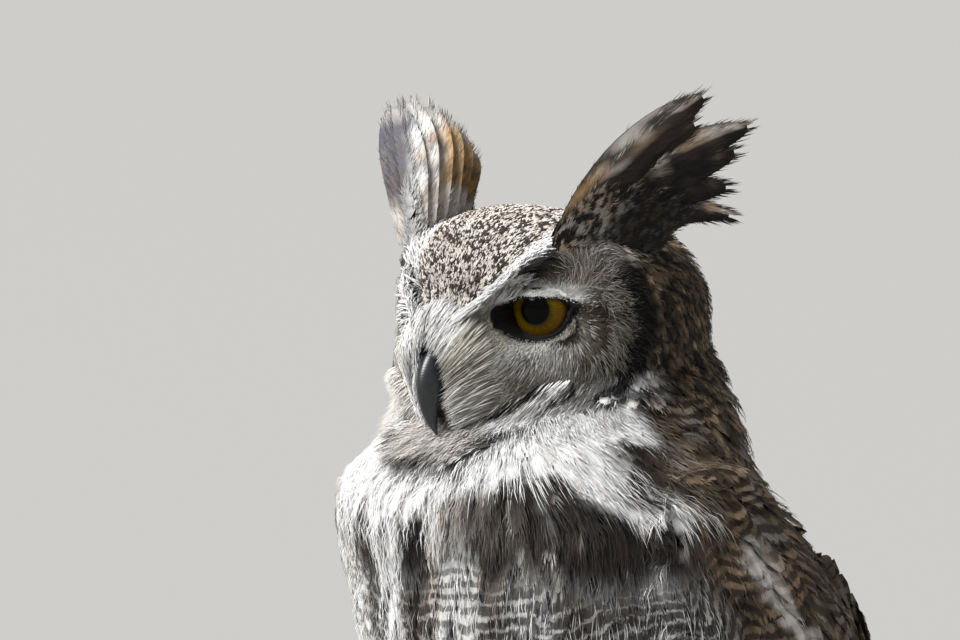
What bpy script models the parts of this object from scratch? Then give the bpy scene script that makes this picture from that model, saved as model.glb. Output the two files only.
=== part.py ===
"""A life-size great horned owl, standing, with its head turned to its own left.

Run with: blender --background --python part.py

The owl faces -Y and its left side is +X. All sizes below are in millimetres; meshes are made in
metres. Each named part of the bird is one closed solid, out to the tips of its feathers, and
neighbouring solids keep a gap of GAP to each other. The finished bird is centred over the origin,
on the floor at z = 0.
"""

import math

import bmesh
import bpy
import numpy as np
from mathutils import Matrix, Vector

MM = 0.001
GAP = 0.35
FLAT_ENOUGH = math.radians(0.6)
SIDES = {"left": 1, "right": -1}

# Head. Its own axes are: across (to the bird's left), ahead (towards the bill), above (the eyes).
EYE_LEVEL = 384.0
HEAD_TURN = math.radians(16)
HEAD_HALF_WIDTH = 59.0
FACE_DEPTH, NAPE_DEPTH = 55.0, 76.0
CROWN_ABOVE_EYES = 40.0
CHIN_BELOW_EYES = 60.0
HEAD_CENTRE_BELOW_EYES = 8.0
HEAD_FULLNESS = 2.3
EYE_ACROSS, EYE_AHEAD = 26.5, 27.0
EYE_RADIUS = 15.5
EYE_SPLAY = math.radians(22)
LID_OPENING_RADIUS = 11.8
# The brow's ridge: across, above, and how far it stands ahead of the plain form of the head.
BROW_LINE = ((11, -5, 2.5), (28, 6, 9.5), (33, 14, 8.0), (38, 24, 8.0))

# Trunk and neck, as level sections: height, axis towards the tail, half width, front, back.
TRUNK_SECTIONS = (
    (374, 4, 42, 30, 68),
    (358, 4, 54, 36, 77),
    (340, 6, 64, 54, 81),
    (325, 8, 76, 81, 80),
    (300, 13, 87, 95, 84),
    (280, 18, 92, 93, 90),
    (255, 26, 95, 96, 94),
    (225, 35, 95, 93, 95),
    (190, 46, 88, 84, 86),
    (155, 58, 75, 70, 72),
    (125, 68, 57, 52, 54),
    (108, 74, 43, 38, 42),
)
BELLY_FLOOR = 96.0
NECK_CUT_HEIGHT = 318.0

# The sleeve that the folded wings lie on, as the same kind of sections.
SLEEVE_SECTIONS = (
    (322, 9, 83, 86, 82),
    (300, 13, 93, 94, 90),
    (268, 22, 101, 96, 103),
    (230, 34, 103, 96, 108),
    (190, 52, 96, 88, 98),
    (150, 76, 80, 72, 81),
    (110, 104, 62, 54, 63),
    (70, 134, 46, 40, 48),
    (26, 168, 30, 26, 35),
)
# Where a wing's lower and upper edges run round the sleeve: height, and degrees from the side.
WING_EDGES = (
    (322, 0, 30),
    (300, -12, 54),
    (268, -17, 70),
    (230, -15, 79),
    (190, -7, 83),
    (150, 5, 84),
    (110, 18, 84),
    (70, 32, 83),
    (26, 52, 80),
)
WING_THICKNESS, WING_EDGE_THICKNESS = 9.0, 1.6

# Tail: twelve feathers in a shallow arch, from under the back to just clear of the floor.
TAIL_ROOT = (98.0, 182.0)
TAIL_TIP = (208.0, 12.0)
TAIL_HALF_WIDTHS = (24.0, 44.0)
TAIL_HALF_THICKNESSES = (7.0, 2.0)
TAIL_ARCH = 8.0
TAIL_FEATHERS = 12

# Legs. A foot's place is its pad's centre; toes are: bearing from ahead outwards, length, talon.
FOOT_ACROSS, FOOT_BACK = 37.0, 40.0
THIGH_TOP = (34.0, 52.0, 165.0)
ANKLE_HEIGHT = 58.0
SHANK_RADIUS = 14.5
PAD_RADIUS, PAD_HEIGHT = 15.0, 20.0
TOE_RADIUS = 7.8
TALON_RADIUS = 3.6
TOES = {
    "inner": (-27, 37.0, 24.0),
    "middle": (11, 42.0, 24.0),
    "outer": (56, 36.0, 22.0),
    "hind": (176, 25.0, 26.0),
}

# Ear tufts, in the head's axes: root and tip of each blade of long feathers, and its half width.
TUFT_BLADES = {
    "left": (
        ((35, 32, 18), (62, -25, 87), 10.5),
        ((38, 20, 24), (62, -24, 74), 9.5),
        ((40, 12, 25), (72, -42, 73), 8.5),
        ((43, 2, 23), (71, -38, 60), 7.5),
        ((45, -6, 20), (66, -38, 36), 6.0),
    ),
    "right": (
        ((-37, 36, 18), (-67, 20, 79), 9.0),
        ((-38, 26, 24), (-62, 10, 82), 11.0),
        ((-40, 15, 25), (-57, -3, 81), 11.0),
        ((-43, 2, 23), (-53, -18, 68), 10.0),
    ),
}
TUFT_BASE = {
    "left": ((34, 38, 20), (39, 18, 29), (46, -10, 22), 6.0),
    "right": ((-34, 40, 20), (-39, 18, 29), (-45, -8, 23), 6.0),
}

PLUMAGE_COLOURS = {
    "grey": (0.30, 0.27, 0.24),
    "dark": (0.12, 0.10, 0.085),
    "white": (0.75, 0.73, 0.70),
    "buff": (0.48, 0.38, 0.27),
    "horn": (0.05, 0.052, 0.058),
    "eye": (0.50, 0.33, 0.03),
}


def clear_scene():
    for obj in list(bpy.data.objects):
        bpy.data.objects.remove(obj)


def material(name, colour, roughness=0.85):
    made = bpy.data.materials.new(name)
    made.use_nodes = True
    shader = made.node_tree.nodes["Principled BSDF"]
    shader.inputs["Base Color"].default_value = (*colour, 1)
    shader.inputs["Roughness"].default_value = roughness
    shader.inputs["Metallic"].default_value = 0
    return made


# Curves and sections ----------------------------------------------------------------------


def track(rows, at):
    """A smooth curve through rows of (position, values...), read at a position between them."""
    table = np.array(sorted(rows), float)
    where, values = table[:, 0], table[:, 1:]
    slopes = np.gradient(values, where, axis=0)
    i = int(np.clip(np.searchsorted(where, at) - 1, 0, len(where) - 2))
    span = where[i + 1] - where[i]
    t = (at - where[i]) / span
    return (
        (2 * t**3 - 3 * t**2 + 1) * values[i]
        + (t**3 - 2 * t**2 + t) * span * slopes[i]
        + (3 * t**2 - 2 * t**3) * values[i + 1]
        + (t**3 - t**2) * span * slopes[i + 1]
    )


def bump(distance, width):
    return math.exp(-((distance / width) ** 2))


def ease(t):
    t = min(max(t, 0.0), 1.0)
    return t * t * (3 - 2 * t)


def bezier(points, t):
    """The point at t on the Bezier curve through these control points."""
    points = [np.array(p, float) for p in points]
    while len(points) > 1:
        points = [(1 - t) * a + t * b for a, b in zip(points, points[1:])]
    return points[0]


def section_point(rows, height, degrees, inset=0.0):
    """A point on a level section: 0 degrees is its outer side, 90 the back, -90 the front."""
    axis, half_width, front, back = track(rows, height)
    turn = math.radians(degrees)
    depth = back if turn > 0 else front
    return Vector(
        (
            (half_width - inset) * math.cos(turn),
            axis + (depth - inset) * math.sin(turn),
            height,
        )
    )


# Meshes -----------------------------------------------------------------------------------


def new_object(name, bm, look, helper=False):
    """An object from a bmesh in millimetres, which is freed. Its faces become triangles, so
    that a grown copy follows the same planes."""
    bmesh.ops.triangulate(bm, faces=bm.faces)
    bmesh.ops.recalc_face_normals(bm, faces=bm.faces)
    bmesh.ops.scale(bm, vec=(MM, MM, MM), verts=bm.verts)
    mesh = bpy.data.meshes.new(name)
    bm.to_mesh(mesh)
    bm.free()
    mesh.shade_smooth()
    mesh.materials.append(look)
    obj = bpy.data.objects.new(name, mesh)
    bpy.context.scene.collection.objects.link(obj)
    if helper:
        obj.hide_render = True
        obj.display_type = "WIRE"
    return obj


def loft(rings, start=None, end=None):
    """A closed bmesh through rings of points. Each end is a single point, or the ring's middle."""
    bm = bmesh.new()
    made = [[bm.verts.new(p) for p in ring] for ring in rings]
    for below, above in zip(made, made[1:]):
        for i in range(len(below)):
            j = (i + 1) % len(below)
            bm.faces.new((below[i], below[j], above[j], above[i]))
    for ring, point in ((made[0], start), (made[-1], end)):
        middle = sum((v.co for v in ring), Vector()) / len(ring)
        pole = bm.verts.new(middle if point is None else point)
        for i in range(len(ring)):
            bm.faces.new((ring[i], ring[(i + 1) % len(ring)], pole))
    return bm


def shell(outer, inner):
    """A closed bmesh between two grids of points that share their rows and columns."""
    bm = bmesh.new()
    grids = [[[bm.verts.new(p) for p in row] for row in grid] for grid in (outer, inner)]
    for grid in grids:
        for below, above in zip(grid, grid[1:]):
            for i in range(len(below) - 1):
                bm.faces.new((below[i], below[i + 1], above[i + 1], above[i]))
    outer_edge, inner_edge = (
        grid[0] + [row[-1] for row in grid[1:-1]] + grid[-1][::-1]
        + [row[0] for row in grid[-2:0:-1]]
        for grid in grids
    )
    for i in range(len(outer_edge)):
        j = (i + 1) % len(outer_edge)
        bm.faces.new((outer_edge[i], outer_edge[j], inner_edge[j], inner_edge[i]))
    return bm


def oval(centre, across, along, count, phase=0.0):
    """Points round an ellipse with the given half axes, as vectors."""
    turns = [2 * math.pi * (i + phase) / count for i in range(count)]
    return [centre + across * math.cos(a) + along * math.sin(a) for a in turns]


def limb(spine, half_widths, half_depths, wide_way, steps, sides, blunt=0.0):
    """A bmesh along a Bezier spine, with oval sections that are widest along wide_way."""
    rings = []
    for i in range(steps + 1):
        t = i / steps
        here = Vector(bezier(spine, t))
        ahead = (
            Vector(bezier(spine, min(t + 0.01, 1))) - Vector(bezier(spine, max(t - 0.01, 0)))
        ).normalized()
        across = (wide_way - ahead * wide_way.dot(ahead)).normalized()
        along = ahead.cross(across)
        rings.append(
            oval(here, across * half_widths(t), along * half_depths(t), sides)
        )
    tip = Vector(bezier(spine, 1)) + ahead * blunt
    return loft(rings, end=tip)


def apply_modifiers(obj):
    """Bakes the object's modifiers into its mesh."""
    graph = bpy.context.evaluated_depsgraph_get()
    mesh = bpy.data.meshes.new_from_object(obj.evaluated_get(graph))
    obj.modifiers.clear()
    obj.data = mesh


def merge_flat_faces(obj):
    """Merges the slivers that a cut leaves on nearly flat faces."""
    bm = bmesh.new()
    bm.from_mesh(obj.data)
    bmesh.ops.dissolve_limit(
        bm, angle_limit=FLAT_ENOUGH, verts=bm.verts[:], edges=bm.edges[:], use_dissolve_boundaries=False
    )
    bmesh.ops.triangulate(bm, faces=bm.faces)
    bm.to_mesh(obj.data)
    bm.free()


def combine(obj, others, operation):
    """Joins other objects to obj, or cuts them from it, and removes those that were used up."""
    for other in others:
        modifier = obj.modifiers.new(operation.title(), "BOOLEAN")
        modifier.operation = operation
        modifier.solver = "EXACT"
        modifier.object = other
        bpy.context.view_layer.update()
        apply_modifiers(obj)
    for other in others:
        bpy.data.objects.remove(other)
    merge_flat_faces(obj)
    return obj


def grown(obj, by=GAP):
    """A helper copy of obj whose surface stands further out."""
    bm = bmesh.new()
    bm.from_mesh(obj.data)
    bm.normal_update()
    moves = [(v, v.normal.copy()) for v in bm.verts]
    for vertex, normal in moves:
        vertex.co += normal * by * MM
    bmesh.ops.scale(bm, vec=(1 / MM,) * 3, verts=bm.verts)
    return new_object(obj.name + ".room", bm, obj.data.materials[0], helper=True)


def sliced(obj, name, keep_above=None, keep_below=None):
    """A copy of obj between two heights, closed where it was cut."""
    bm = bmesh.new()
    bm.from_mesh(obj.data)
    for height, upward in ((keep_above, 1), (keep_below, -1)):
        if height is None:
            continue
        cut = bmesh.ops.bisect_plane(
            bm,
            geom=bm.verts[:] + bm.edges[:] + bm.faces[:],
            plane_co=(0, 0, height * MM),
            plane_no=(0, 0, -upward),
            clear_outer=True,
        )
        edges = [e for e in cut["geom_cut"] if isinstance(e, bmesh.types.BMEdge)]
        bmesh.ops.contextual_create(bm, geom=edges)
    bmesh.ops.scale(bm, vec=(1 / MM,) * 3, verts=bm.verts)
    return new_object(name, bm, obj.data.materials[0])


# Head -------------------------------------------------------------------------------------


def in_head(across, ahead, above):
    """A point in the head's own axes, in the bird's frame."""
    local = Vector((across, -ahead, above))
    return Matrix.Rotation(HEAD_TURN, 4, "Z") @ local + Vector((0, 0, EYE_LEVEL))


def nearest_on_line(x, z, start, end):
    """The distance to the nearest place on a line, and how far along the line that place is."""
    (ax, az), (bx, bz) = start, end
    t = ((x - ax) * (bx - ax) + (z - az) * (bz - az)) / ((bx - ax) ** 2 + (bz - az) ** 2)
    t = min(max(t, 0.0), 1.0)
    return math.hypot(x - ax - t * (bx - ax), z - az - t * (bz - az)), t


def brow_relief(side, above):
    """The overhanging brow, which rises from the bill to the root of the tuft."""
    heights = [0.0]
    for (ax, az, a), (bx, bz, b) in zip(BROW_LINE, BROW_LINE[1:]):
        distance, t = nearest_on_line(side, above, (ax, az), (bx, bz))
        heights.append((a + t * (b - a)) * bump(distance, 6.0))
    return max(heights)


def face_relief(across, above):
    """How far the face stands ahead of the plain form of the head."""
    side = abs(across)
    ridge = 7.0 * bump(side, 8.0) * bump(above + 6, 17.0)
    dish = -8.5 * bump(side - 29, 14.0) * bump(above + 3, 13.0)
    bristles = 8.0 * bump(side - 19, 8.5) * bump(above + 16, 13.0)
    disc_edge = math.hypot((side - 22) / 35.0, (above + 6) / 39.0)
    rim = 3.2 * bump(disc_edge - 0.93, 0.09) - 2.2 * bump(disc_edge - 1.13, 0.08)
    cheek = 2.5 * bump(side - 26, 13.0) * bump(above + 32, 12.0)
    rim *= ease((14 - above) / 16 + 0.5)
    return ridge + dish + bristles + brow_relief(side, above) + rim + cheek


def head_surface(polar, turn):
    """A point of the head, by its angle from straight ahead and its turn about that line."""
    x = math.sin(polar) * math.cos(turn)
    y = math.cos(polar)
    z = math.sin(polar) * math.sin(turn)
    half_height = (
        CROWN_ABOVE_EYES + HEAD_CENTRE_BELOW_EYES
        if z > 0
        else CHIN_BELOW_EYES - HEAD_CENTRE_BELOW_EYES
    )
    size = (
        abs(x / HEAD_HALF_WIDTH) ** HEAD_FULLNESS
        + abs(y / (FACE_DEPTH if y > 0 else NAPE_DEPTH)) ** HEAD_FULLNESS
        + abs(z / half_height) ** HEAD_FULLNESS
    ) ** (-1 / HEAD_FULLNESS)
    across, ahead, above = x * size, y * size, z * size - HEAD_CENTRE_BELOW_EYES
    ahead += face_relief(across, above) * ease(y / 0.55)
    return in_head(across, ahead, above)


def make_head_form(look):
    """The head before anything is cut from it, with its points closest on the face."""
    rows, columns = 19, 30
    rings = []
    for i in range(1, rows):
        share = i / rows
        polar = math.pi * (0.72 * share + 0.28 * share**3)
        rings.append(
            [head_surface(polar, 2 * math.pi * j / columns) for j in range(columns)]
        )
    bm = loft(rings, start=head_surface(0, 0), end=head_surface(math.pi, 0))
    return new_object("head", bm, look)


def eye_frame(side):
    """The eye's centre, and the way it looks."""
    centre = in_head(side * EYE_ACROSS, EYE_AHEAD, 0)
    looking = in_head(
        side * (EYE_ACROSS + math.sin(EYE_SPLAY)), EYE_AHEAD + math.cos(EYE_SPLAY), 0
    )
    return centre, (looking - centre).normalized()


def turned(centre, axis, profile, sides):
    """A turned bmesh: profile rows are (distance along the axis, radius)."""
    across = axis.cross(Vector((0, 0, 1))).normalized()
    along = axis.cross(across)
    rings = [
        oval(centre + axis * at, across * radius, along * radius, sides)
        for at, radius in profile[1:-1]
    ]
    return loft(rings, centre + axis * profile[0][0], centre + axis * profile[-1][0])


def ball_profile(radius, rows):
    angles = [math.pi * i / rows for i in range(rows + 1)]
    return [(-radius * math.cos(a), radius * math.sin(a)) for a in angles]


def make_eye(side_name, look):
    centre, axis = eye_frame(SIDES[side_name])
    profile = ball_profile(EYE_RADIUS, 9)
    return new_object(f"eye_{side_name}", turned(centre, axis, profile, 16), look)


def make_socket(side_name, look):
    """The room that an eye and the opening of its lids take out of the head."""
    centre, axis = eye_frame(SIDES[side_name])
    room = EYE_RADIUS + GAP
    profile = [row for row in ball_profile(room, 9) if row[0] < 0 or row[1] > LID_OPENING_RADIUS]
    reach = EYE_RADIUS + 14
    profile += [(reach, LID_OPENING_RADIUS + 3), (reach, 0)]
    return new_object("socket", turned(centre, axis, profile, 16), look, helper=True)


def bill_loft(upper_edge, lower_edge, half_width, steps, sides):
    """A bill between two edge curves, given as (ahead, above) control points."""
    rings = []
    for i in range(steps):
        t = i / steps
        top, bottom = bezier(upper_edge, t), bezier(lower_edge, t)
        middle, half = (top + bottom) / 2, (top - bottom) / 2
        ring = []
        for j in range(sides):
            a = 2 * math.pi * j / sides
            ahead, above = middle + half * math.sin(a)
            ring.append(in_head(half_width(t) * math.cos(a), ahead, above))
        rings.append(ring)
    return loft(rings, end=in_head(0, *upper_edge[-1]))


def make_upper_bill(look):
    bm = bill_loft(
        ((48, -8), (68, -7), (85, -32), (62, -50)),
        ((42, -27), (52, -33), (66, -30), (62, -50)),
        lambda t: 9.5 * (1 - t**1.35) ** 0.9 + 0.3,
        steps=12,
        sides=12,
    )
    return new_object("bill_upper", bm, look)


def make_lower_bill(look):
    bm = bill_loft(
        ((38, -32), (46, -34), (53, -35), (58, -40)),
        ((38, -43), (47, -46), (54, -45), (58, -40)),
        lambda t: 7.5 * (1 - t**1.6) ** 0.8 + 0.4,
        steps=6,
        sides=10,
    )
    return new_object("bill_lower", bm, look)


def make_tuft(side_name, look):
    """The long feathers over one brow, as flat blades on a low ridge."""
    blades = []
    for root, tip, half_width in TUFT_BLADES[side_name]:
        foot, end = in_head(*root), in_head(*tip)
        lift = in_head(root[0], root[1], root[2] + 22) - foot
        fore_and_aft = in_head(0, 1, 0) - in_head(0, 0, 0)
        bm = limb(
            (foot, foot + lift * 0.9 + (end - foot) * 0.2, end),
            lambda t: half_width * (0.55 + 1.5 * t - 1.55 * t**3),
            lambda t: 4.2 * (1 - t) + 1.1,
            fore_and_aft,
            steps=4,
            sides=6,
            blunt=1.5,
        )
        blades.append(new_object("blade", bm, look))
    *ridge, radius = TUFT_BASE[side_name]
    bm = limb(
        [in_head(*point) for point in ridge],
        lambda t: radius * (0.5 + 0.5 * math.sin(math.pi * t)),
        lambda t: radius * (0.6 + 0.6 * math.sin(math.pi * t)),
        Vector((1, 0, 0)),
        steps=4,
        sides=8,
    )
    base = new_object("blade", bm, look)
    tuft = combine(base, blades, "UNION")
    tuft.name = f"ear_tuft_{side_name}"
    return tuft


# Body -------------------------------------------------------------------------------------


def make_body_form(look):
    """Neck and trunk together, closed inside the head and under the belly."""
    count, rows = 26, 16
    top, bottom = TRUNK_SECTIONS[0][0], TRUNK_SECTIONS[-1][0]
    rings = []
    for i in range(rows + 1):
        height = top + (bottom - top) * i / rows
        ring = []
        for j in range(count):
            degrees = 360 * j / count
            right = 90 < degrees < 270
            folded = 180 - degrees if right else degrees
            folded = (folded + 180) % 360 - 180
            point = section_point(TRUNK_SECTIONS, height, folded)
            ring.append(Vector((-point.x if right else point.x, point.y, point.z)))
        rings.append(ring)
    axis = track(TRUNK_SECTIONS, bottom)[0]
    bm = loft(rings, end=Vector((0, axis, BELLY_FLOOR)))
    return new_object("body", bm, look)


def make_wing(side_name, look):
    """A folded wing: a curved shell on the sleeve, thickest along its middle."""
    side, rows, columns = SIDES[side_name], 13, 6
    top, bottom = WING_EDGES[0][0], WING_EDGES[-1][0]
    outer, inner = [], []
    for i in range(rows + 1):
        height = top + (bottom - top) * i / rows
        lower, upper = track(WING_EDGES, height)
        end_share = math.sin(math.pi * min(max(i / rows, 0.06), 0.94)) ** 0.5
        for grid, is_inner in ((outer, False), (inner, True)):
            line = []
            for j in range(columns + 1):
                share = j / columns
                swell = math.sin(math.pi * share) ** 0.6 * end_share
                thickness = WING_EDGE_THICKNESS + (WING_THICKNESS - WING_EDGE_THICKNESS) * swell
                point = section_point(
                    SLEEVE_SECTIONS,
                    height,
                    lower + (upper - lower) * share,
                    inset=thickness if is_inner else 0,
                )
                line.append(Vector((side * point.x, point.y, point.z)))
            grid.append(line)
    return new_object(f"wing_{side_name}", shell(outer, inner), look)


def make_tail(look):
    """A fan of feathers laid edge over edge, whose ends make a row of round tips."""
    columns, rows = TAIL_FEATHERS * 2, 3
    root, tip = Vector((0, *TAIL_ROOT)), Vector((0, *TAIL_TIP))
    down = (tip - root).normalized()
    out = Vector((1, 0, 0)).cross(down)
    upper, under = [], []
    for i in range(rows + 1):
        t = i / rows
        half_width = TAIL_HALF_WIDTHS[0] + (TAIL_HALF_WIDTHS[1] - TAIL_HALF_WIDTHS[0]) * t**0.8
        half_thickness = (
            TAIL_HALF_THICKNESSES[0] + (TAIL_HALF_THICKNESSES[1] - TAIL_HALF_THICKNESSES[0]) * t
        )
        faces = ([], [])
        for j in range(columns + 1):
            share = 2 * j / columns - 1
            feather_tip = 1.6 if j % 2 else -1.6
            reach = -13.0 * share**4 + feather_tip
            line = root + (tip - root) * t + down * reach * ease((t - 0.6) / 0.4)
            line += Vector((half_width * share, 0, 0))
            arch = TAIL_ARCH * (0.5 - share**2)
            edge = half_thickness * (1 - 0.55 * share**2)
            faces[0].append(line + out * (arch + edge))
            faces[1].append(line + out * (arch - edge))
        upper.append(faces[0])
        under.append(faces[1])
    tail = new_object("tail_form", shell(upper, under), look)
    resting = sliced(tail, "tail", keep_above=0)
    bpy.data.objects.remove(tail)
    return resting


# Legs -------------------------------------------------------------------------------------


def leg_place(side, across, back, height):
    return Vector((side * across, back, height))


def make_thigh_form(side_name, look):
    """The feathered thigh, from inside the belly to the ankle."""
    side = SIDES[side_name]
    bm = limb(
        (
            leg_place(side, *THIGH_TOP),
            leg_place(side, 38, 42, 118),
            leg_place(side, FOOT_ACROSS, FOOT_BACK + 2, ANKLE_HEIGHT),
        ),
        lambda t: 33 - 15 * t**1.4,
        lambda t: 37 - 18 * t**1.4,
        Vector((1, 0, 0)),
        steps=6,
        sides=12,
    )
    return new_object("thigh_form", bm, look)


def make_thigh(side_name, look):
    form = make_thigh_form(side_name, look)
    thigh = sliced(form, f"thigh_{side_name}", keep_above=ANKLE_HEIGHT + 6)
    bpy.data.objects.remove(form)
    return thigh


def make_shank(side_name, look):
    side = SIDES[side_name]
    bm = limb(
        (
            leg_place(side, FOOT_ACROSS, FOOT_BACK + 3, ANKLE_HEIGHT + 12),
            leg_place(side, FOOT_ACROSS, FOOT_BACK + 1, 40),
            leg_place(side, FOOT_ACROSS, FOOT_BACK, PAD_HEIGHT - 8),
        ),
        lambda t: SHANK_RADIUS * (1.12 - 0.2 * math.sin(math.pi * t)),
        lambda t: SHANK_RADIUS * (1.2 - 0.2 * math.sin(math.pi * t)),
        Vector((1, 0, 0)),
        steps=4,
        sides=10,
    )
    form = new_object("shank_form", bm, look)
    shank = sliced(
        form,
        f"shank_{side_name}",
        keep_above=PAD_HEIGHT + GAP,
        keep_below=ANKLE_HEIGHT + 6 - GAP,
    )
    bpy.data.objects.remove(form)
    return shank


def make_pad(side_name, look):
    """The ball of the foot, flat underneath."""
    centre = leg_place(SIDES[side_name], FOOT_ACROSS, FOOT_BACK, 0)
    profile = [(-3, 0)]
    profile += [
        (height, PAD_RADIUS * factor)
        for height, factor in ((-2, 0.86), (2, 0.97), (8, 1.0), (15, 0.98), (20, 0.95))
    ]
    profile += [(PAD_HEIGHT, 0)]
    rings = [
        oval(
            centre + Vector((0, 0, height)),
            Vector((radius, 0, 0)),
            Vector((0, radius, 0)),
            14,
        )
        for height, radius in profile[1:-1]
    ]
    form = new_object("pad_form", loft(rings), look)
    pad = sliced(form, f"foot_{side_name}", keep_above=0)
    bpy.data.objects.remove(form)
    return pad


def toe_way(side, bearing):
    turn = math.radians(bearing)
    return Vector((side * math.sin(turn), -math.cos(turn), 0))


def make_toe(side_name, toe, look):
    """A feathered toe with a flat sole, from the foot's pad to the root of its talon."""
    side = SIDES[side_name]
    bearing, length, _ = TOES[toe]
    way = toe_way(side, bearing)
    start = leg_place(side, FOOT_ACROSS, FOOT_BACK, 0) + way * (PAD_RADIUS - 6)
    end = start + way * (length - 6)
    bm = limb(
        (
            start + Vector((0, 0, 7.6)),
            (start + end) / 2 + Vector((0, 0, 8)),
            end + Vector((0, 0, 6)),
        ),
        lambda t: TOE_RADIUS * (1 - 0.12 * t + 0.06 * math.cos(9 * t)),
        lambda t: TOE_RADIUS * (1.1 - 0.22 * t + 0.06 * math.cos(9 * t)),
        way.cross(Vector((0, 0, 1))),
        steps=4,
        sides=8,
        blunt=3.5,
    )
    form = new_object("toe_form", bm, look)
    made = sliced(form, f"toe_{toe}_{side_name}", keep_above=0)
    bpy.data.objects.remove(form)
    return made


def make_talon(side_name, toe, look):
    """A curved claw that leaves the toe level and ends pointing down at the floor."""
    side = SIDES[side_name]
    bearing, length, reach = TOES[toe]
    way = toe_way(side, bearing)
    start = leg_place(side, FOOT_ACROSS, FOOT_BACK, 0) + way * (PAD_RADIUS - 6 + length - 8)
    up = Vector((0, 0, 1))
    bm = limb(
        (
            start + up * 8,
            start + way * reach * 0.55 + up * 15.5,
            start + way * reach * 1.02 + up * 13,
            start + way * reach + up * 1.2,
        ),
        lambda t: TALON_RADIUS * (1 - t**1.4) + 0.3,
        lambda t: TALON_RADIUS * 1.15 * (1 - t**1.4) + 0.3,
        way.cross(up),
        steps=6,
        sides=6,
    )
    return new_object(f"talon_{toe}_{side_name}", bm, look)


# Assembly ---------------------------------------------------------------------------------


def make_head(looks):
    """The head with its eyes, bill and tufts, and the room that they need in the neck."""
    head = make_head_form(looks["grey"])
    taken = [grown(head, by=GAP * 1.5)]
    upper_bill = make_upper_bill(looks["horn"])
    lower_bill = make_lower_bill(looks["horn"])
    combine(lower_bill, [grown(upper_bill)], "DIFFERENCE")
    tufts = [make_tuft(name, looks["buff"]) for name in SIDES]
    for name in SIDES:
        make_eye(name, looks["eye"])
    rooms = [make_socket(name, looks["grey"]) for name in SIDES]
    rooms += [grown(piece) for piece in (upper_bill, lower_bill)]
    combine(head, rooms, "DIFFERENCE")
    for tuft in tufts:
        combine(tuft, [grown(head)], "DIFFERENCE")
    return taken + [grown(piece) for piece in (upper_bill, lower_bill)]


def make_legs(looks):
    """Both legs, and the room that their thighs need in the trunk."""
    rooms = []
    for name in SIDES:
        rooms.append(grown(make_thigh(name, looks["white"])))
        make_shank(name, looks["white"])
        taken = [make_pad(name, looks["white"])]
        for toe in TOES:
            made = make_toe(name, toe, looks["white"])
            combine(made, [grown(piece) for piece in taken], "DIFFERENCE")
            talon = make_talon(name, toe, looks["horn"])
            combine(talon, [grown(made)], "DIFFERENCE")
            taken.append(made)
    return rooms


def centre_over_origin():
    """Moves the finished bird so that the middle of its outline is over the origin."""
    parts = [o for o in bpy.data.objects if not o.hide_render]
    corners = np.array([v.co for o in parts for v in o.data.vertices])
    low, high = corners.min(0), corners.max(0)
    shift = Matrix.Translation((-(low[0] + high[0]) / 2, -(low[1] + high[1]) / 2, 0))
    for part in parts:
        part.data.transform(shift)


def main():
    clear_scene()
    looks = {
        name: material(name, colour, 0.25 if name in ("horn", "eye") else 0.85)
        for name, colour in PLUMAGE_COLOURS.items()
    }
    head_rooms = make_head(looks)
    leg_rooms = make_legs(looks)
    body = make_body_form(looks["grey"])
    neck = sliced(body, "neck", keep_above=NECK_CUT_HEIGHT + GAP / 2)
    trunk = sliced(body, "trunk", keep_below=NECK_CUT_HEIGHT - GAP / 2)
    bpy.data.objects.remove(body)
    tail = make_tail(looks["dark"])
    wings = [make_wing(name, looks["dark"]) for name in SIDES]
    combine(tail, [grown(wing) for wing in wings], "DIFFERENCE")
    combine(neck, head_rooms + [grown(wing) for wing in wings], "DIFFERENCE")
    combine(trunk, leg_rooms + [grown(wing) for wing in wings] + [grown(tail)], "DIFFERENCE")
    centre_over_origin()


main()
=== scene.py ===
"""Looks for a life-size model of a great horned owl.

One skin takes the place of the solids of flesh. Eyes, bill and talons are separate pieces. The coat
is made of solid strands and vanes. A strand is a closed spindle with a three-sided section. A
feather is a thin closed vane that follows the skin, with loose barbs along its edge. All working
sizes are in millimetres in the bird's own axes: x to its left, y towards its tail from the middle
of the head, z up from the floor.
"""

import math
from itertools import product

import bmesh
import bpy
import numpy as np
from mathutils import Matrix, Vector
from mathutils.bvhtree import BVHTree


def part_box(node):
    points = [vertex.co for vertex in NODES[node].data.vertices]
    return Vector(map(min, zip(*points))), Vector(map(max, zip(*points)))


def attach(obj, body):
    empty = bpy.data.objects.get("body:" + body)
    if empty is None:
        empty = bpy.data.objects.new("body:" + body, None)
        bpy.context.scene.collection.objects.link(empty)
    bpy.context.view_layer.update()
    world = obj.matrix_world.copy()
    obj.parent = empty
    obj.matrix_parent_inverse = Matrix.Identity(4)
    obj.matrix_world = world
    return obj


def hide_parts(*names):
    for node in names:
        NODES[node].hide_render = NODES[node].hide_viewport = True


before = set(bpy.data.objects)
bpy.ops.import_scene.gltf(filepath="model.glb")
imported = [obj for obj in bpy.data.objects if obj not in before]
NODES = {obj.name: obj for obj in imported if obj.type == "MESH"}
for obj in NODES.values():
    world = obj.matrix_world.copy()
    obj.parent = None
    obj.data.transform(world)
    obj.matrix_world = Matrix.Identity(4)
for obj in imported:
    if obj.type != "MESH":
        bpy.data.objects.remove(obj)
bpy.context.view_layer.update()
MM = 0.001
rng = np.random.default_rng(71)

# Places taken from the frame ------------


def row(*v):
    return np.array(v)


def middle(node):
    low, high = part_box(node)
    return np.array((low + high) / 2) / MM


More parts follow.
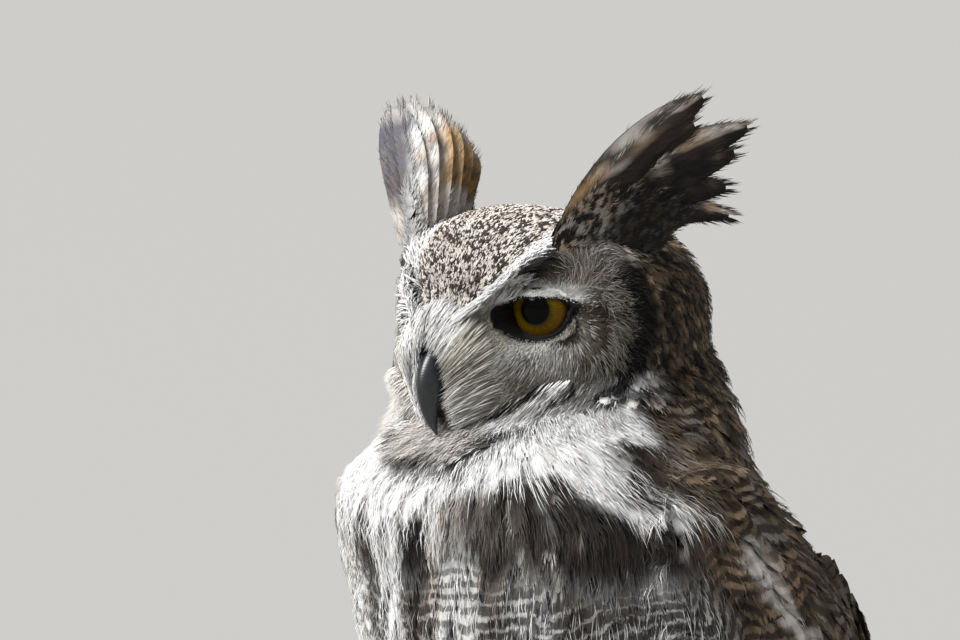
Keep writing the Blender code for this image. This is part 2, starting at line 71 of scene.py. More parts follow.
EYE_RADIUS = 15.4
IRIS_RADIUS = 11.4
PUPIL_RADIUS = 5.8
EYE_AHEAD = 27.0
EYE_SPLAY = math.radians(22)
LEFT_EYE, RIGHT_EYE = middle("eye_left"), middle("eye_right")
EYE_ACROSS = np.linalg.norm(LEFT_EYE - RIGHT_EYE) / 2
ACROSS = (LEFT_EYE - RIGHT_EYE) / np.linalg.norm(LEFT_EYE - RIGHT_EYE)
AHEAD = np.array((ACROSS[1], -ACROSS[0], 0.0))
UP = row(0.0, 0.0, 1.0)
HEAD_MIDDLE = (LEFT_EYE + RIGHT_EYE) / 2 - AHEAD * EYE_AHEAD
HOME = np.array((HEAD_MIDDLE[0], HEAD_MIDDLE[1], 0.0))
EYE_LEVEL = HEAD_MIDDLE[2]
SIDES = {"left": 1, "right": -1}
FOOT_ACROSS, FOOT_BACK = 37.0, 40.0


def to_head(points):
    """From the bird's axes to the head's: across (left), ahead, above the eyes."""
    local = points - row(0, 0, EYE_LEVEL)
    return np.stack((local @ ACROSS, local @ AHEAD, local[..., 2]), -1)


def folded(h):
    """Distance from the middle line, ahead and above the eyes, the same for both sides."""
    return np.abs(h[..., 0]), h[..., 1], h[..., 2]


def head_way(vectors):
    """Directions in the head's axes, turned into the bird's."""
    return vectors[..., :1] * ACROSS + vectors[..., 1:2] * AHEAD + vectors[..., 2:] * UP


def from_head(points):
    return head_way(np.asarray(points, float)) + row(0, 0, EYE_LEVEL)


# Numbers ------------


def unit(v):
    return v / np.maximum(np.linalg.norm(v, axis=-1, keepdims=True), 1e-9)


def unit_row(*v):
    return row(*v) / np.linalg.norm(v)


def ease(low, high, value):
    """0 below low, 1 above high, and smooth between."""
    t = np.clip((value - low) / (high - low), 0, 1)
    return t * t * (3 - 2 * t)


def between(low, high, value, soft):
    return ease(low - soft, low + soft, value) * (1 - ease(high - soft, high + soft, value))


def mottle(points, size, seed=0):
    """Smooth random values from 0 to 1 that change over about `size` millimetres."""
    q = np.asarray(points, float) / size + seed * 7.31
    cell = np.floor(q).astype(np.int64)
    f = q - cell
    f = f * f * (3 - 2 * f)
    total = np.zeros(q.shape[:-1])
    for corner in product((0, 1), repeat=3):
        c = cell + corner
        key = c[..., 0] * 73856093 ^ c[..., 1] * 19349663 ^ c[..., 2] * 83492791 ^ seed * 2654435
        key = (key ^ (key >> 13)) * 1274126177 & 0xFFFFFFFF
        value = ((key ^ (key >> 16)) & 0xFFFF) / 65535
        weight = np.ones(q.shape[:-1])
        for axis in range(3):
            weight = weight * (f[..., axis] if corner[axis] else 1 - f[..., axis])
        total += weight * value
    return total


def track(rows, at):
    """Straight runs through rows of (position, value), read at many positions."""
    rows = sorted(rows)
    return np.interp(at, [r[0] for r in rows], [r[1] for r in rows])


def path_lengths(path):
    return np.linalg.norm(np.diff(path, axis=-2), axis=-1).sum(-1)


def linear(hex_colour):
    """An sRGB hex colour as linear red, green and blue."""
    parts = [int(hex_colour[i : i + 2], 16) / 255 for i in (1, 3, 5)]
    return np.array([c / 12.92 if c <= 0.04045 else ((c + 0.055) / 1.055) ** 2.4 for c in parts])


def mix(a, b, share):
    """From a to b by a share for each place, which has no axis for the colours."""
    share = np.asarray(share)[..., None]
    return a * (1 - share) + b * share


# Colours of the plumage ------------

WHITE = linear("#fdfbf7")
PALE_GREY = linear("#bdb7b0")
CROWN_PALE = linear("#e2d8cc")
GREY = linear("#8d867f")
GREY_BROWN = linear("#6a5f56")
UMBER = linear("#3a302a")
BLACK_BROWN = linear("#1d1815")
ROSY = linear("#94837c")
BUFF = linear("#c4a582")
OCHRE = linear("#a5793f")
OLIVE_BROWN = linear("#5b4d3c")
EYE_SKIN = linear("#0e0c0b")
BAR_UMBER = linear("#26201c")
DISC_GREY = linear("#746b5d")
DISC_DARK = linear("#453e2f")
DISC_TAN = linear("#a8927a")
LORE_OLIVE = linear("#b6b09e")
CHIN_PALE = linear("#e0d8ce")
BREAST_GREY = linear("#5f5851")
SLATE = linear("#2c2b31")
SMOKE_GREY = linear("#666469")
TAWNY = linear("#cf9f62")


# Materials ------------


def add_node(material, kind, settings=None, links=None, values=None):
    """A shader node with its settings, its unlinked values, and links from (node, output) pairs."""
    node = material.node_tree.nodes.new(f"ShaderNode{kind}")
    for key, value in (settings or {}).items():
        setattr(node, key, value)
    for key, value in (values or {}).items():
        node.inputs[key].default_value = value
    for key, (source, output) in (links or {}).items():
        material.node_tree.links.new(source.outputs[output], node.inputs[key])
    return node


def feed(material, shader, **sources):
    """Links the shader's sockets to (node, output) pairs, and gives the finished material."""
    for key, (source, output) in sources.items():
        material.node_tree.links.new(source.outputs[output], shader.inputs[key.replace("_", " ")])
    return material


def new_material(name, roughness, **sockets):
    """A material of the name, and its shader with the roughness and other values it is given."""
    material = bpy.data.materials.new(name)
    material.use_nodes = True
    shader = material.node_tree.nodes["Principled BSDF"]
    shader.inputs["Roughness"].default_value = roughness
    for key, value in sockets.items():
        shader.inputs[key.replace("_", " ")].default_value = value
    return material, shader


def feather_material(name, streaks_per_mm, streak_depth, roughness=0.75):
    """Keratin barbs lying side by side: matt, barred in umber, and streaked along each barb by
    finer barbs that are too thin to model. `lie` holds millimetres across and along the barbs, and
    a number of the feather's own. `mark` holds the turn of the bars in radians, their strength, and
    how much of the pitch is dark, from -1 to 1."""
    material, shader = new_material(
        name, roughness, Specular_IOR_Level=0.2, Subsurface_Weight=0.4, Subsurface_Scale=0.002,
        Subsurface_Radius=(1.0, 0.9, 0.8)
    )
    names = ("tint", "lie", "mark")
    tint, lie, mark = (add_node(material, "Attribute", {"attribute_name": name}) for name in names)
    bar = add_node(material, "SeparateXYZ", None, {"Vector": (mark, "Vector")})
    place = add_node(material, "TexCoord")
    ragged = add_node(
        material, "TexNoise", None, {"Vector": (place, "Object")},
        {"Scale": 420.0, "Detail": 3.0, "Roughness": 0.65}
    )
    sway = add_node(
        material, "Math", {"operation": "MULTIPLY_ADD"}, {0: (ragged, "Fac"), 2: (bar, "X")}, {1: 4.5}
    )
    wave = add_node(material, "Math", {"operation": "SINE"}, {0: (sway, "Value")})
    level = add_node(material, "Math", {"operation": "ADD"}, {0: (wave, "Value"), 1: (bar, "Z")})
    edge = add_node(
        material, "MapRange", None, {"Value": (level, "Value")}, {"From Min": -0.35, "From Max": 0.35}
    )
    share = add_node(material, "Math", {"operation": "MULTIPLY"}, {0: (edge, "Result"), 1: (bar, "Y")})
    barred = add_node(
        material, "Mix", {"data_type": "RGBA"}, {0: (share, "Value"), 6: (tint, "Color")},
        {7: (*BAR_UMBER, 1)}
    )
    stretch = add_node(
        material, "VectorMath", {"operation": "MULTIPLY"}, {0: (lie, "Vector")},
        {1: (streaks_per_mm, 0.08, 1.0)}
    )
    barbs = add_node(
        material, "TexNoise", None, {"Vector": (stretch, "Vector")},
        {"Scale": 1.0, "Detail": 3.0, "Roughness": 0.65}
    )
    shade = add_node(
        material, "MapRange", None, {"Value": (barbs, "Fac")},
        {"From Min": 0.32, "From Max": 0.68, "To Min": 1 - streak_depth, "To Max": 1 + 0.5 * streak_depth}
    )
    colour = add_node(
        material, "VectorMath", {"operation": "SCALE"}, {0: (barred, 2), "Scale": (shade, "Result")}
    )
    bump = add_node(
        material, "Bump", None, {"Height": (barbs, "Fac")}, {"Strength": 0.4, "Distance": 0.0004}
    )
    return feed(material, shader, Base_Color=(colour, "Vector"), Normal=(bump, "Normal"))


def skin_material():
    """Thin skin and down between the feathers: dull, finely wrinkled."""
    material, shader = new_material("skin_and_down", 0.8, Specular_IOR_Level=0.2)
    tint = add_node(material, "Attribute", {"attribute_name": "tint"})
    place = add_node(material, "TexCoord")
    down = add_node(
        material, "TexNoise", None, {"Vector": (place, "Object")},
        {"Scale": 900.0, "Detail": 3.0, "Roughness": 0.6}
    )
    shade = add_node(
        material, "MapRange", None, {"Value": (down, "Fac")},
        {"From Min": 0.3, "From Max": 0.7, "To Min": 0.7, "To Max": 1.1}
    )
    colour = add_node(
        material, "VectorMath", {"operation": "SCALE"}, {0: (tint, "Color"), "Scale": (shade, "Result")}
    )
    bump = add_node(
        material, "Bump", None, {"Height": (down, "Fac")}, {"Strength": 0.4, "Distance": 0.0005}
    )
    return feed(material, shader, Base_Color=(colour, "Vector"), Normal=(bump, "Normal"))


def horn_material(name, base, sheen):
    """Slate-black keratin of bill and talons: smooth, with faint growth lines and a paler bloom."""
    material, shader = new_material(name, 0.36, IOR=1.55, Coat_Weight=0.15, Coat_Roughness=0.25)
    place = add_node(material, "TexCoord")
    bloom = add_node(
        material, "TexNoise", None, {"Vector": (place, "Object")},
        {"Scale": 160.0, "Detail": 4.0, "Roughness": 0.55}
    )
    growth = add_node(
        material, "TexWave", {"wave_type": "BANDS", "bands_direction": "Z"}, {"Vector": (place, "Object")},
        {"Scale": 320.0, "Distortion": 3.0, "Detail": 2.0}
    )
    ramp = add_node(material, "ValToRGB", None, {"Fac": (bloom, "Fac")})
    for element, position, colour in zip(ramp.color_ramp.elements, (0.35, 0.75), (base, sheen)):
        element.position = position
        element.color = (*linear(colour), 1)
    bump = add_node(
        material, "Bump", None, {"Height": (growth, "Fac")}, {"Strength": 0.12, "Distance": 0.0002}
    )
    return feed(material, shader, Base_Color=(ramp, "Color"), Normal=(bump, "Normal"))


def eye_material():
    """A wet cornea over an ochre iris: glossy, with fine fibres running from the pupil.
    `iris` holds millimetres from the axis, and the turn round it as cosine and sine."""
    material, shader = new_material("eye_wet", 0.03, IOR=1.376, Specular_IOR_Level=0.1)
    iris = add_node(material, "Attribute", {"attribute_name": "iris"})
    parts = add_node(material, "SeparateXYZ", None, {"Vector": (iris, "Vector")})
    spread = add_node(
        material, "VectorMath", {"operation": "MULTIPLY"}, {0: (iris, "Vector")}, {1: (0.22, 9.0, 9.0)}
    )
    fibres = add_node(
        material, "TexNoise", None, {"Vector": (spread, "Vector")},
        {"Scale": 1.6, "Detail": 4.0, "Roughness": 0.6}
    )
    ahead = add_node(
        material, "MapRange", None, {"Value": (parts, "X")}, {"From Min": 0.0, "From Max": 14.0}
    )
    ramp = add_node(material, "ValToRGB", None, {"Fac": (ahead, "Result")})
    stops = (
        (0.0, "#040404"), (PUPIL_RADIUS / 14 - 0.012, "#050504"), (PUPIL_RADIUS / 14 + 0.015, "#2c2407"),
        (0.56, "#584406"), (0.70, "#634608"), (IRIS_RADIUS / 14 - 0.05, "#3b2a08"),
        (IRIS_RADIUS / 14 + 0.01, "#120c05"), (1.0, "#050403")
    )
    elements = ramp.color_ramp.elements
    while len(elements) < len(stops):
        elements.new(0.5)
    for element, (position, colour) in zip(elements, stops):
        element.position = position
        element.color = (*linear(colour), 1)
    shade = add_node(
        material, "MapRange", None, {"Value": (fibres, "Fac")},
        {"From Min": 0.3, "From Max": 0.7, "To Min": 0.62, "To Max": 1.3}
    )
    colour = add_node(
        material, "VectorMath", {"operation": "SCALE"}, {0: (ramp, "Color"), "Scale": (shade, "Result")}
    )
    return feed(material, shader, Base_Color=(colour, "Vector"))


# Meshes ------------


def placed(name, data):
    """An object of the data, put in the scene."""
    thing = bpy.data.objects.new(name, data)
    bpy.context.scene.collection.objects.link(thing)
    return thing


def flat(values):
    return values.astype(np.float32).ravel()


def mesh_piece(name, points, triangles, material, slot, uv=None, normals=None, **marks):
    """A piece from arrays of points in the bird's axes and triangles of their numbers. `marks` are
    its attributes, one row a point: `tint` is a colour, and the rest are vectors."""
    mesh = bpy.data.meshes.new(name)
    mesh.vertices.add(len(points))
    mesh.vertices.foreach_set("co", flat((points + HOME) * MM))
    mesh.loops.add(triangles.size)
    mesh.loops.foreach_set("vertex_index", triangles.astype(np.int32).ravel())
    mesh.polygons.add(len(triangles))
    mesh.polygons.foreach_set("loop_start", np.arange(0, triangles.size, 3, dtype=np.int32))
    if uv is not None:
        layer = mesh.uv_layers.new(name="OFBake")
        layer.data.foreach_set("uv", flat(uv[triangles.ravel()]))
    mesh.update(calc_edges=True)
    mesh.shade_smooth()
    for key, values in marks.items():
        kind, field = ("FLOAT_COLOR", "color") if key == "tint" else ("FLOAT_VECTOR", "vector")
        attribute = mesh.attributes.new(key, kind, "POINT")
        if key == "tint":
            values = np.concatenate((np.clip(values, 0.001, 1), np.ones((len(values), 1))), 1)
        attribute.data.foreach_set(field, flat(values))
    if normals is not None:
        mesh.normals_split_custom_set_from_vertices(normals.astype(np.float32))
    mesh.materials.append(material)
    piece = placed(name, mesh)
    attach(piece, "root")
    return piece


def mesh_arrays(mesh):
    """A mesh's points in the bird's axes, its triangles and its normals."""
    mesh.calc_loop_triangles()
    points = np.zeros(len(mesh.vertices) * 3)
    mesh.vertices.foreach_get("co", points)
    normals = np.zeros(len(mesh.vertices) * 3)
    mesh.vertices.foreach_get("normal", normals)
    triangles = np.zeros(len(mesh.loop_triangles) * 3, np.int64)
    mesh.loop_triangles.foreach_get("vertices", triangles)
    return points.reshape(-1, 3) / MM - HOME, triangles.reshape(-1, 3), normals.reshape(-1, 3)


# Markings ------------

# Degrees from straight ahead to the eyes, and the height of the brow, by distance from the middle.
EYE_BEARING = 38.6
BROW = ((8, -6.5), (11.6, -4.5), (23, 4.5), (25, 8), (27.5, 14.8), (32.5, 23.5), (38, 30), (44, 34))
# The black stroke under the outer half of the brow: its middle height and half its thickness.
STROKE = ((23.5, 6.0), (29, 12.5), (34, 17.5), (39, 19.5), (44, 19.5))
STROKE_HALF = ((23.5, 1.2), (29, 2.6), (34, 4.2), (39, 5.2), (44, 3.8))
# By distance from the middle line: the discs' lower edge, the dark collar under the chin, which is partly
# dark feathers and partly painted shadow, and the black stroke along the top of the ruff with half its
# thickness.
JAW = ((0, -56), (14, -42), (20, -37.5), (28, -33), (35.5, -28.5), (47, -27), (56, -26))
COLLAR = (
    (0, -58), (12, -59.5), (19, -55.5), (25, -51), (31, -47), (35, -43), (41, -40), (47, -37.5), (56, -36)
)
RUFF_TOP = ((17, -40.5), (20, -38.5), (28, -34.5), (36, -29.5), (44, -29))
RUFF_TOP_HALF = ((18, 0.2), (22, 1.4), (28, 2.2), (33, 1.6), (42, 0.6))
# The way the feathers of the ruff lie, in the head's axes.
RUFF_LIE = unit_row(-0.70, 0.44, -0.56)
# How far back the body's middle line is, by height.
BODY_AXIS = (
    (360, 4), (325, 8), (300, 13), (280, 18), (255, 26), (225, 35), (190, 46), (155, 58), (108, 74), (0, 74)
)
# How pale the breast is, by degrees from its middle line: dark and pale stripes where it parts.
BREAST_STRIPES = (
    (0, 1), (3.5, 1), (5.5, 0), (12.5, 0), (15.5, 0.7), (26, 0.7), (29.5, 0.05), (33.5, 0.05), (36, 0.3),
    (46, 0.25), (50, 0), (67, 0), (72, 0.08), (82, 0.08), (92, 0)
)
# The lower edge of the white bib, by degrees from a line a little to the bird's right.
BIB_FLOOR = (
    (0, 300), (18, 301), (25, 310), (32, 316), (41, 318), (52, 323), (61, 322), (67, 314), (75, 307),
    (83, 303), (110, 300)
)


def bearing(h):
    """Degrees from straight ahead, seen from above."""
    return np.degrees(np.arctan2(np.abs(h[..., 0]), h[..., 1]))


def disc_edge(h):
    """How far out on the facial disc: 1 where its dark rim begins."""
    turn, z = bearing(h) - EYE_BEARING, h[..., 2] + 5
    wide = np.where(turn > 0, 34.0, 40.0)
    tall = np.where(z > 0, 29.0, 28.0)
    return np.hypot(turn / wide, z / tall)


def above_brow(h):
    """Distance above the line of the brow, which rises from the bill to the tuft."""
    x, z = np.abs(h[..., 0]), h[..., 2]
    slope = 0.84 - 0.36 * ease(21, 25, x)
    return (z - track(BROW, x)) * slope


def body_turn(points):
    """Degrees round the body from straight ahead, more to the bird's left."""
    axis = track(BODY_AXIS, points[..., 2])
    return np.degrees(np.arctan2(points[..., 0], axis - points[..., 1]))


def head_colour(points, speckle=1.0):
    """The head's colour at points near its skin, with the speckle of its small feathers."""
    h = to_head(points)
    x, y, z = folded(h)
    turn, brow, edge = bearing(h), above_brow(h), disc_edge(h)
    fine, broad = mottle(points, 1.5, 3), mottle(points, 9.0, 5)
    # Crown and forehead: dark specks on pale rosy grey, whiter beside the brow.
    crown = mix(CROWN_PALE, ROSY, ease(0.40, 0.85, broad) * 0.5)
    beside = between(0.5, 6.5, brow, 2.5) * ease(15, 25, x)
    crown = mix(crown, WHITE, beside * 0.8)
    dark = ease(0.46, 0.60, fine + 0.12 * (mottle(points, 5, 9) - 0.5)) * (1 - 0.75 * beside)
    crown = mix(crown, UMBER, dark * speckle)
    hind = np.exp(-(((x - 26) / 6) ** 2) - ((y - 8) / 7) ** 2) * ease(30, 36, z)
    crown = mix(crown, WHITE, np.clip(hind * 1.3, 0, 1))
    # Sides and nape: olive brown with dark bars.
    nape = mix(OLIVE_BROWN, BUFF, ease(0.5, 0.85, mottle(points, 4, 11)) * 0.5)
    nape = mix(nape, BLACK_BROWN, ease(0.42, 0.56, mottle(points * (1, 1, 1.6), 3.0, 13)) * speckle)
    behind = ease(8, -12, y) * ease(38, 24, z) + ease(-14, -34, y)
    behind = behind + ease(1.15, 1.35, edge) * ease(56, 64, turn) * between(-28, 18, z, 5)
    colour = mix(crown, nape, np.clip(behind, 0, 1))
    # Facial disc: olive grey, buff above and behind the eye, brown on the cheek, pale under the eye.
    disc = mix(DISC_GREY, PALE_GREY, ease(0.3, 0.7, broad) * 0.3)
    disc = mix(disc, DISC_TAN, ease(50, 62, turn) * ease(4, 14, z) * 0.8)
    disc = mix(disc, DISC_DARK, ease(40, 58, turn) * ease(-8, -24, z) * 0.6)
    disc = mix(disc, DISC_DARK, ease(0.35, 0.8, edge) * ease(54, 62, turn) * ease(12, 2, z))
    below_eye = between(22, 50, turn, 6) * between(-24, -12, z, 3)
    disc = mix(disc, WHITE, below_eye * 0.4)
    spot = np.exp(-(((x - 33) / 5.5) ** 2) - ((z + 20.5) / 3.2) ** 2)
    disc = mix(disc, UMBER, spot * 0.75)
    front = ease(-16, -6, y)
    inside = (1 - ease(0.96, 1.06, edge)) * front * (1 - ease(-0.8, 0.8, brow))
    colour = mix(colour, disc, inside)
    # White along the brow and over the lid, a black stroke under the outer half of the brow.
    white = between(-1.4, 1.6, brow, 0.8) * between(7, 38, x, 3) * ease(8, 24, y)
    colour = mix(colour, WHITE, white)
    lid = between(3.6, 10.0, z, 1.2) * between(22, 47, x, 3) * (brow < 0) * ease(14, 24, y)
    colour = mix(colour, WHITE, lid * 0.95)
    stroke = ease(1.0, -0.4, np.abs(z - track(STROKE, x)) - track(STROKE_HALF, x))
    stroke = stroke * between(24, 43, x, 1.5) * ease(8, 18, y) * (1 - 0.6 * ease(2, -2, h[..., 0]))
    colour = mix(colour, BLACK_BROWN, stroke * 0.97)
    # Bristles beside the bill: white over its root, olive grey towards the eye, pale below.
    bristle = ease(27, 22, x) * between(-36, -2, z, 3) * ease(36, 44, y)
    lore = mix(LORE_OLIVE, CHIN_PALE, ease(-14, -30, z) * 0.8)
    lore = mix(lore, WHITE, ease(14, 9, x) * ease(-21, -16, z))
    colour = mix(colour, lore, bristle)
    # Dark inner corner of the eye: black skin and dark feathers, and painted shade in the groove in front of
    # the eye.
    corner = np.exp(-(((x - 12.5) / 4.0) ** 2) - ((z + 2.5) / 4.0) ** 2) * ease(44, 38, y)
    colour = mix(colour, BLACK_BROWN, np.clip(corner * 1.3, 0, 1))
    # Black rim of the disc, broad at the side and fading above and below: partly the disc's own black rim,
    # and partly painted shade on the neck just behind it.
    rim = between(0.98, 1.6, edge, 0.08) * ease(58, 66, turn) * between(-31, 16, z, 6)
    rim = rim * (1 - 0.8 * ease(2, -2, h[..., 0]) * ease(-6, -12, z))
    colour = mix(colour, EYE_SKIN, rim)
    # Ruff under the disc: slanting black and white strokes. Chin: pale, with a dark collar that is partly
    # dark feathers and partly painted shadow under the chin.
    jaw = track(JAW, x)
    ruff = ease(jaw + 1, jaw - 1, z) * ease(track(COLLAR, x) - 1, track(COLLAR, x) + 1, z)
    ruff = ruff * ease(-12, 6, y) * ease(15, 19, x)
    colour = mix(colour, ruff_colour(points), ruff)
    below = ease(track(COLLAR, x) + 1, track(COLLAR, x) - 1, z)
    chin = ease(-34, -38, z) * (1 - ruff) * ease(10, 20, y) * ease(46, 36, x)
    streaks = ease(0.5, 0.7, mottle(points * (1, 1, 1.8), 2.4, 15)) * 0.4 * (1 - below)
    colour = mix(colour, mix(CHIN_PALE, GREY_BROWN, streaks), chin)
    colour = mix(colour, WHITE, below * ease(10, 20, y))
    # The collar: mottled dark feathers, and painted shadow under the overhang of the chin.
    band = np.abs(z - track(COLLAR, x)) - track(((0, 2.0), (20, 1.8), (26, 2.6), (33, 2.2), (40, 0.6)), x)
    collar = ease(0.9, -0.6, band + 1.4 * (mottle(points, 2.0, 22) - 0.5)) * ease(46, 38, x) * ease(6, 16, y)
    return mix(colour, BLACK_BROWN, collar * 0.95 * ease(0.25, 0.4, mottle(points, 4, 19)))


def ruff_colour(points):
    """Long slanting strokes of black on white, drawn out along the lie of the ruff."""
    x, y, z = folded(to_head(points))
    h = np.stack((x, y, z), -1)
    drawn = h - RUFF_LIE * ((h @ RUFF_LIE) * 0.72)[..., None]
    strokes = 0.88 * mottle(drawn, 3.8, 17) + 0.12 * mottle(points, 1.2, 18)
    tone = mix(WHITE, BLACK_BROWN, ease(0.54, 0.57, strokes) * 0.97)
    ragged = 1.6 * (mottle(drawn, 1.6, 20) - 0.5)
    top = ease(0.7, -0.5, np.abs(z - track(RUFF_TOP, x)) - track(RUFF_TOP_HALF, x) - ragged)
    tone = mix(tone, BLACK_BROWN, top * ease(43, 38, x))
    patch = between(6, 22, y, 3) * between(-40, -32.5, z, 1.2) * ease(48, 51, x)
    return mix(tone, SLATE, patch * 0.9)


def bib_floor(points):
    return track(BIB_FLOOR, np.abs(body_turn(points) + 5))


def body_marks(points):
    """The body's ground colour near its skin, and its bars: their turn, strength and width."""
    z = points[..., 2]
    signed = body_turn(points)
    turn = np.abs(signed)
    broad, medium = mottle(points, 22.0, 21), mottle(points, 8.0, 23)
    across = np.abs(signed - 2 + 1.5 * np.sin(z / 17) + 5 * (broad - 0.5))
    stripe = track(BREAST_STRIPES, across)
    low = ease(248, 205, z)
    ragged = mottle(points * (1, 1, 0.45), 5.0, 35)
    pale = np.clip(ease(0.38, 0.62, stripe + 1.3 * (ragged - 0.5)) + 0.35 * low, 0, 1)
    soft = between(24, 66, signed, 6) * ease(286, 298, z)
    breast = mix(BLACK_BROWN, UMBER, ease(0.4, 0.8, medium) * 0.5)
    breast = mix(breast, BREAST_GREY, soft * ease(46, 30, across) * 0.8)
    breast = mix(breast, BREAST_GREY, soft * 0.2)
    barred = ease(286 + 20 * stripe, 266 + 20 * stripe, z)
    white = mix(WHITE, BUFF, ease(0.45, 0.8, mottle(points, 12, 25)) * 0.45)
    pale = pale * (1 - 0.8 * soft)
    ground = mix(breast, white, np.maximum(pale, barred * (0.55 + 0.45 * stripe)))
    middle = ease(4.5, 2.5, across) * ease(306, 296, z)
    strength = barred * (0.92 - 0.25 * stripe) * (1 - middle)
    width = 0.85 - 1.3 * stripe - 0.4 * low
    # Throat: a pure white bib.
    bib = ease(-3, 2, z - bib_floor(points) - 7 * (medium - 0.5)) * ease(100, 84, turn + 10 * (broad - 0.5))
    grey_patch = between(74, 112, turn, 5) * between(306, 337, z, 4) * ease(0.40, 0.50, medium)
    bib = bib * (1 - grey_patch)
    ground = mix(ground, WHITE, np.maximum(bib, middle))
    strength = strength * (1 - bib)
    # Back, shoulders and wings: dusted olive brown, barred in umber, with pale shoulder spots.
    back = mix(OLIVE_BROWN, BUFF, ease(0.35, 0.85, medium) * 0.55)
    back = mix(back, GREY, ease(0.5, 0.8, mottle(points, 11, 27)) * 0.6)
    shoulder = 118 - (z - 215) * 0.2
    spot = np.exp(-(((turn - shoulder) / 7) ** 2)) * between(205, 300, z, 8)
    spot = spot * ease(0.5, 0.62, mottle(points, 13, 29))
    back = mix(back, mix(WHITE, BUFF, 0.3), spot * 0.9)
    side = ease(84, 96, turn + 10 * (broad - 0.5))
    ground = mix(ground, back, side)
    strength = strength * (1 - side) + side * (0.85 - 0.6 * spot)
    width = width * (1 - side) + side * (0.05 + 0.7 * (mottle(points, 16, 31) - 0.5))
    # Up to the collar the neck wears the ruff's and the chin's colours.
    across, ahead, above = folded(to_head(points))
    collar = track(COLLAR, across)
    under_chin = ease(collar - 2, collar + 0.5, above) * ease(-8, 8, ahead) * ease(60, 54, across)
    ground = mix(ground, head_colour(points), under_chin)
    strength = strength * (1 - under_chin)
    pitch = 5.6 + 0.8 * side
    slope = 0.3 * np.clip(np.abs(signed) - 36, 0, 50) * (1 - side)
    phase = 2 * math.pi * ((z - slope) / pitch) + 15 * (mottle(points, 18, 33) - 0.5) + 4 * (medium - 0.5)
    return ground, np.stack((phase, strength, width), -1)


# Skin ------------

# How deep the coat is over the skin of the body, by height.
COAT_DEPTHS = ((0, 1.2), (18, 1.4), (28, 3.0), (60, 3.8), (75, 5.0), (130, 6.5), (300, 6.5), (345, 6.0))
FLESH = sorted(n for n in NODES if not n.startswith(("eye", "bill", "talon", "tail", "ear_tuft")))
# The solids are swollen by this share of a metre to merge, then rebuilt from cells of this size.
JOINING, SKIN_VOXEL = 0.0006, 2.2
# The edges of the lids: across and above the middle of the eye.
UPPER_LID = ((-19, -1.2), (-14, 0.6), (-10, 2.3), (-6.5, 3.6), (2, 4.0), (9.5, 3.8), (13.7, 2.8), (16.3, 1.5))
LOWER_LID = (
    (-19, -2.4), (-15.7, -5.6), (-10.7, -8.8), (-6.5, -10.9), (-1.4, -11.8), (4.5, -11.1), (9.5, -8.6),
    (12.5, -4.6), (16.3, 1.2)
)


def eye_axes(side):
    """The eye's middle, and its axes: outward across the face, up, and the way it looks."""
    middle_of_eye = from_head(row(side * EYE_ACROSS, EYE_AHEAD, 0.0))
    looks = head_way(np.array((side * math.sin(EYE_SPLAY), math.cos(EYE_SPLAY), 0.0)))
    outward = head_way(np.array((side * math.cos(EYE_SPLAY), -math.sin(EYE_SPLAY), 0.0)))
    return middle_of_eye, outward, UP, looks


def lid_gap(d_out, d_up):
    """How far inside the opening of the lids a place is: above 0 is between the lids."""
    inside = np.minimum(track(UPPER_LID, d_out) - d_up, d_up - track(LOWER_LID, d_out))
    return np.minimum(inside, np.minimum(d_out - UPPER_LID[0][0], UPPER_LID[-1][0] - d_out) * 0.8)


def coat_depth(points):
    """How far the tips of the coat stand over the skin."""
    h = to_head(points)
    on_head = ease(-62, -50, h[..., 2])
    face = ease(-5, 15, h[..., 1])
    head = 5.0 * (1 - face) + 2.0 * face
    head = head + 4.8 * between(46, 62, bearing(h), 6) * between(-18, -1, h[..., 2], 4)
    body = track(COAT_DEPTHS, points[..., 2])
    body = body + 2.5 * between(320, 336, points[..., 2], 5) * ease(70, 50, np.abs(body_turn(points)))
    return body * (1 - on_head) + head * on_head


def build_skin():
    """One closed surface over all the flesh, sunk by the coat's depth, with lids over the eyes."""
    bm = bmesh.new()
    for name in FLESH + ["eye_left", "eye_right"]:
        part = bmesh.new()
        part.from_mesh(NODES[name].data)
        bmesh.ops.remove_doubles(part, verts=part.verts, dist=1e-6)
        part.normal_update()
        moves = [(v, v.normal * JOINING) for v in part.verts]
        for vertex, move in moves:
            vertex.co += move
        joined = bpy.data.meshes.new("part")
        part.to_mesh(joined)
        part.free()
        bm.from_mesh(joined)
        bpy.data.meshes.remove(joined)
    mesh = bpy.data.meshes.new("skin_form")
    bm.to_mesh(mesh)
    bm.free()
    form = placed("skin_form", mesh)
    remesh = form.modifiers.new("Remesh", "REMESH")
    remesh.mode = "VOXEL"
    remesh.voxel_size = SKIN_VOXEL * MM
    smooth = form.modifiers.new("Smooth", "SMOOTH")
    smooth.factor = 0.5
    smooth.iterations = 8
    graph = bpy.context.evaluated_depsgraph_get()
    bm = bmesh.new()
    bm.from_object(form, graph)
    bpy.data.objects.remove(form)
    for side in SIDES.values():
        centre, _, _, looks = eye_axes(side)
        place = Vector((centre + HOME) * MM)
        look = Vector(looks)
        for _ in range(2):
            near = [
                e
                for e in bm.edges
                if all((v.co - place).length < 0.025 and (v.co - place).dot(look) > 0 for v in e.verts)
            ]
            bmesh.ops.subdivide_edges(bm, edges=near, cuts=1, use_grid_fill=True)
    bmesh.ops.triangulate(bm, faces=bm.faces)
    bm.normal_update()
    out = bpy.data.meshes.new("skin")
    bm.to_mesh(out)
    bm.free()
    points, triangles, normals = mesh_arrays(out)
    bpy.data.meshes.remove(out)
    # The coat's depth is taken off, but not where the lids lie on the eyes.
    around_eyes = np.full(len(points), 99.0)
    for side in SIDES.values():
        centre = eye_axes(side)[0]
        around_eyes = np.minimum(around_eyes, np.linalg.norm(points - centre, axis=1))
    sink = coat_depth(points) * ease(15.0, 24.0, around_eyes)
    points = points - normals * sink[:, None]
    for side in SIDES.values():
        points = shape_lids(points, side)
    return points, triangles


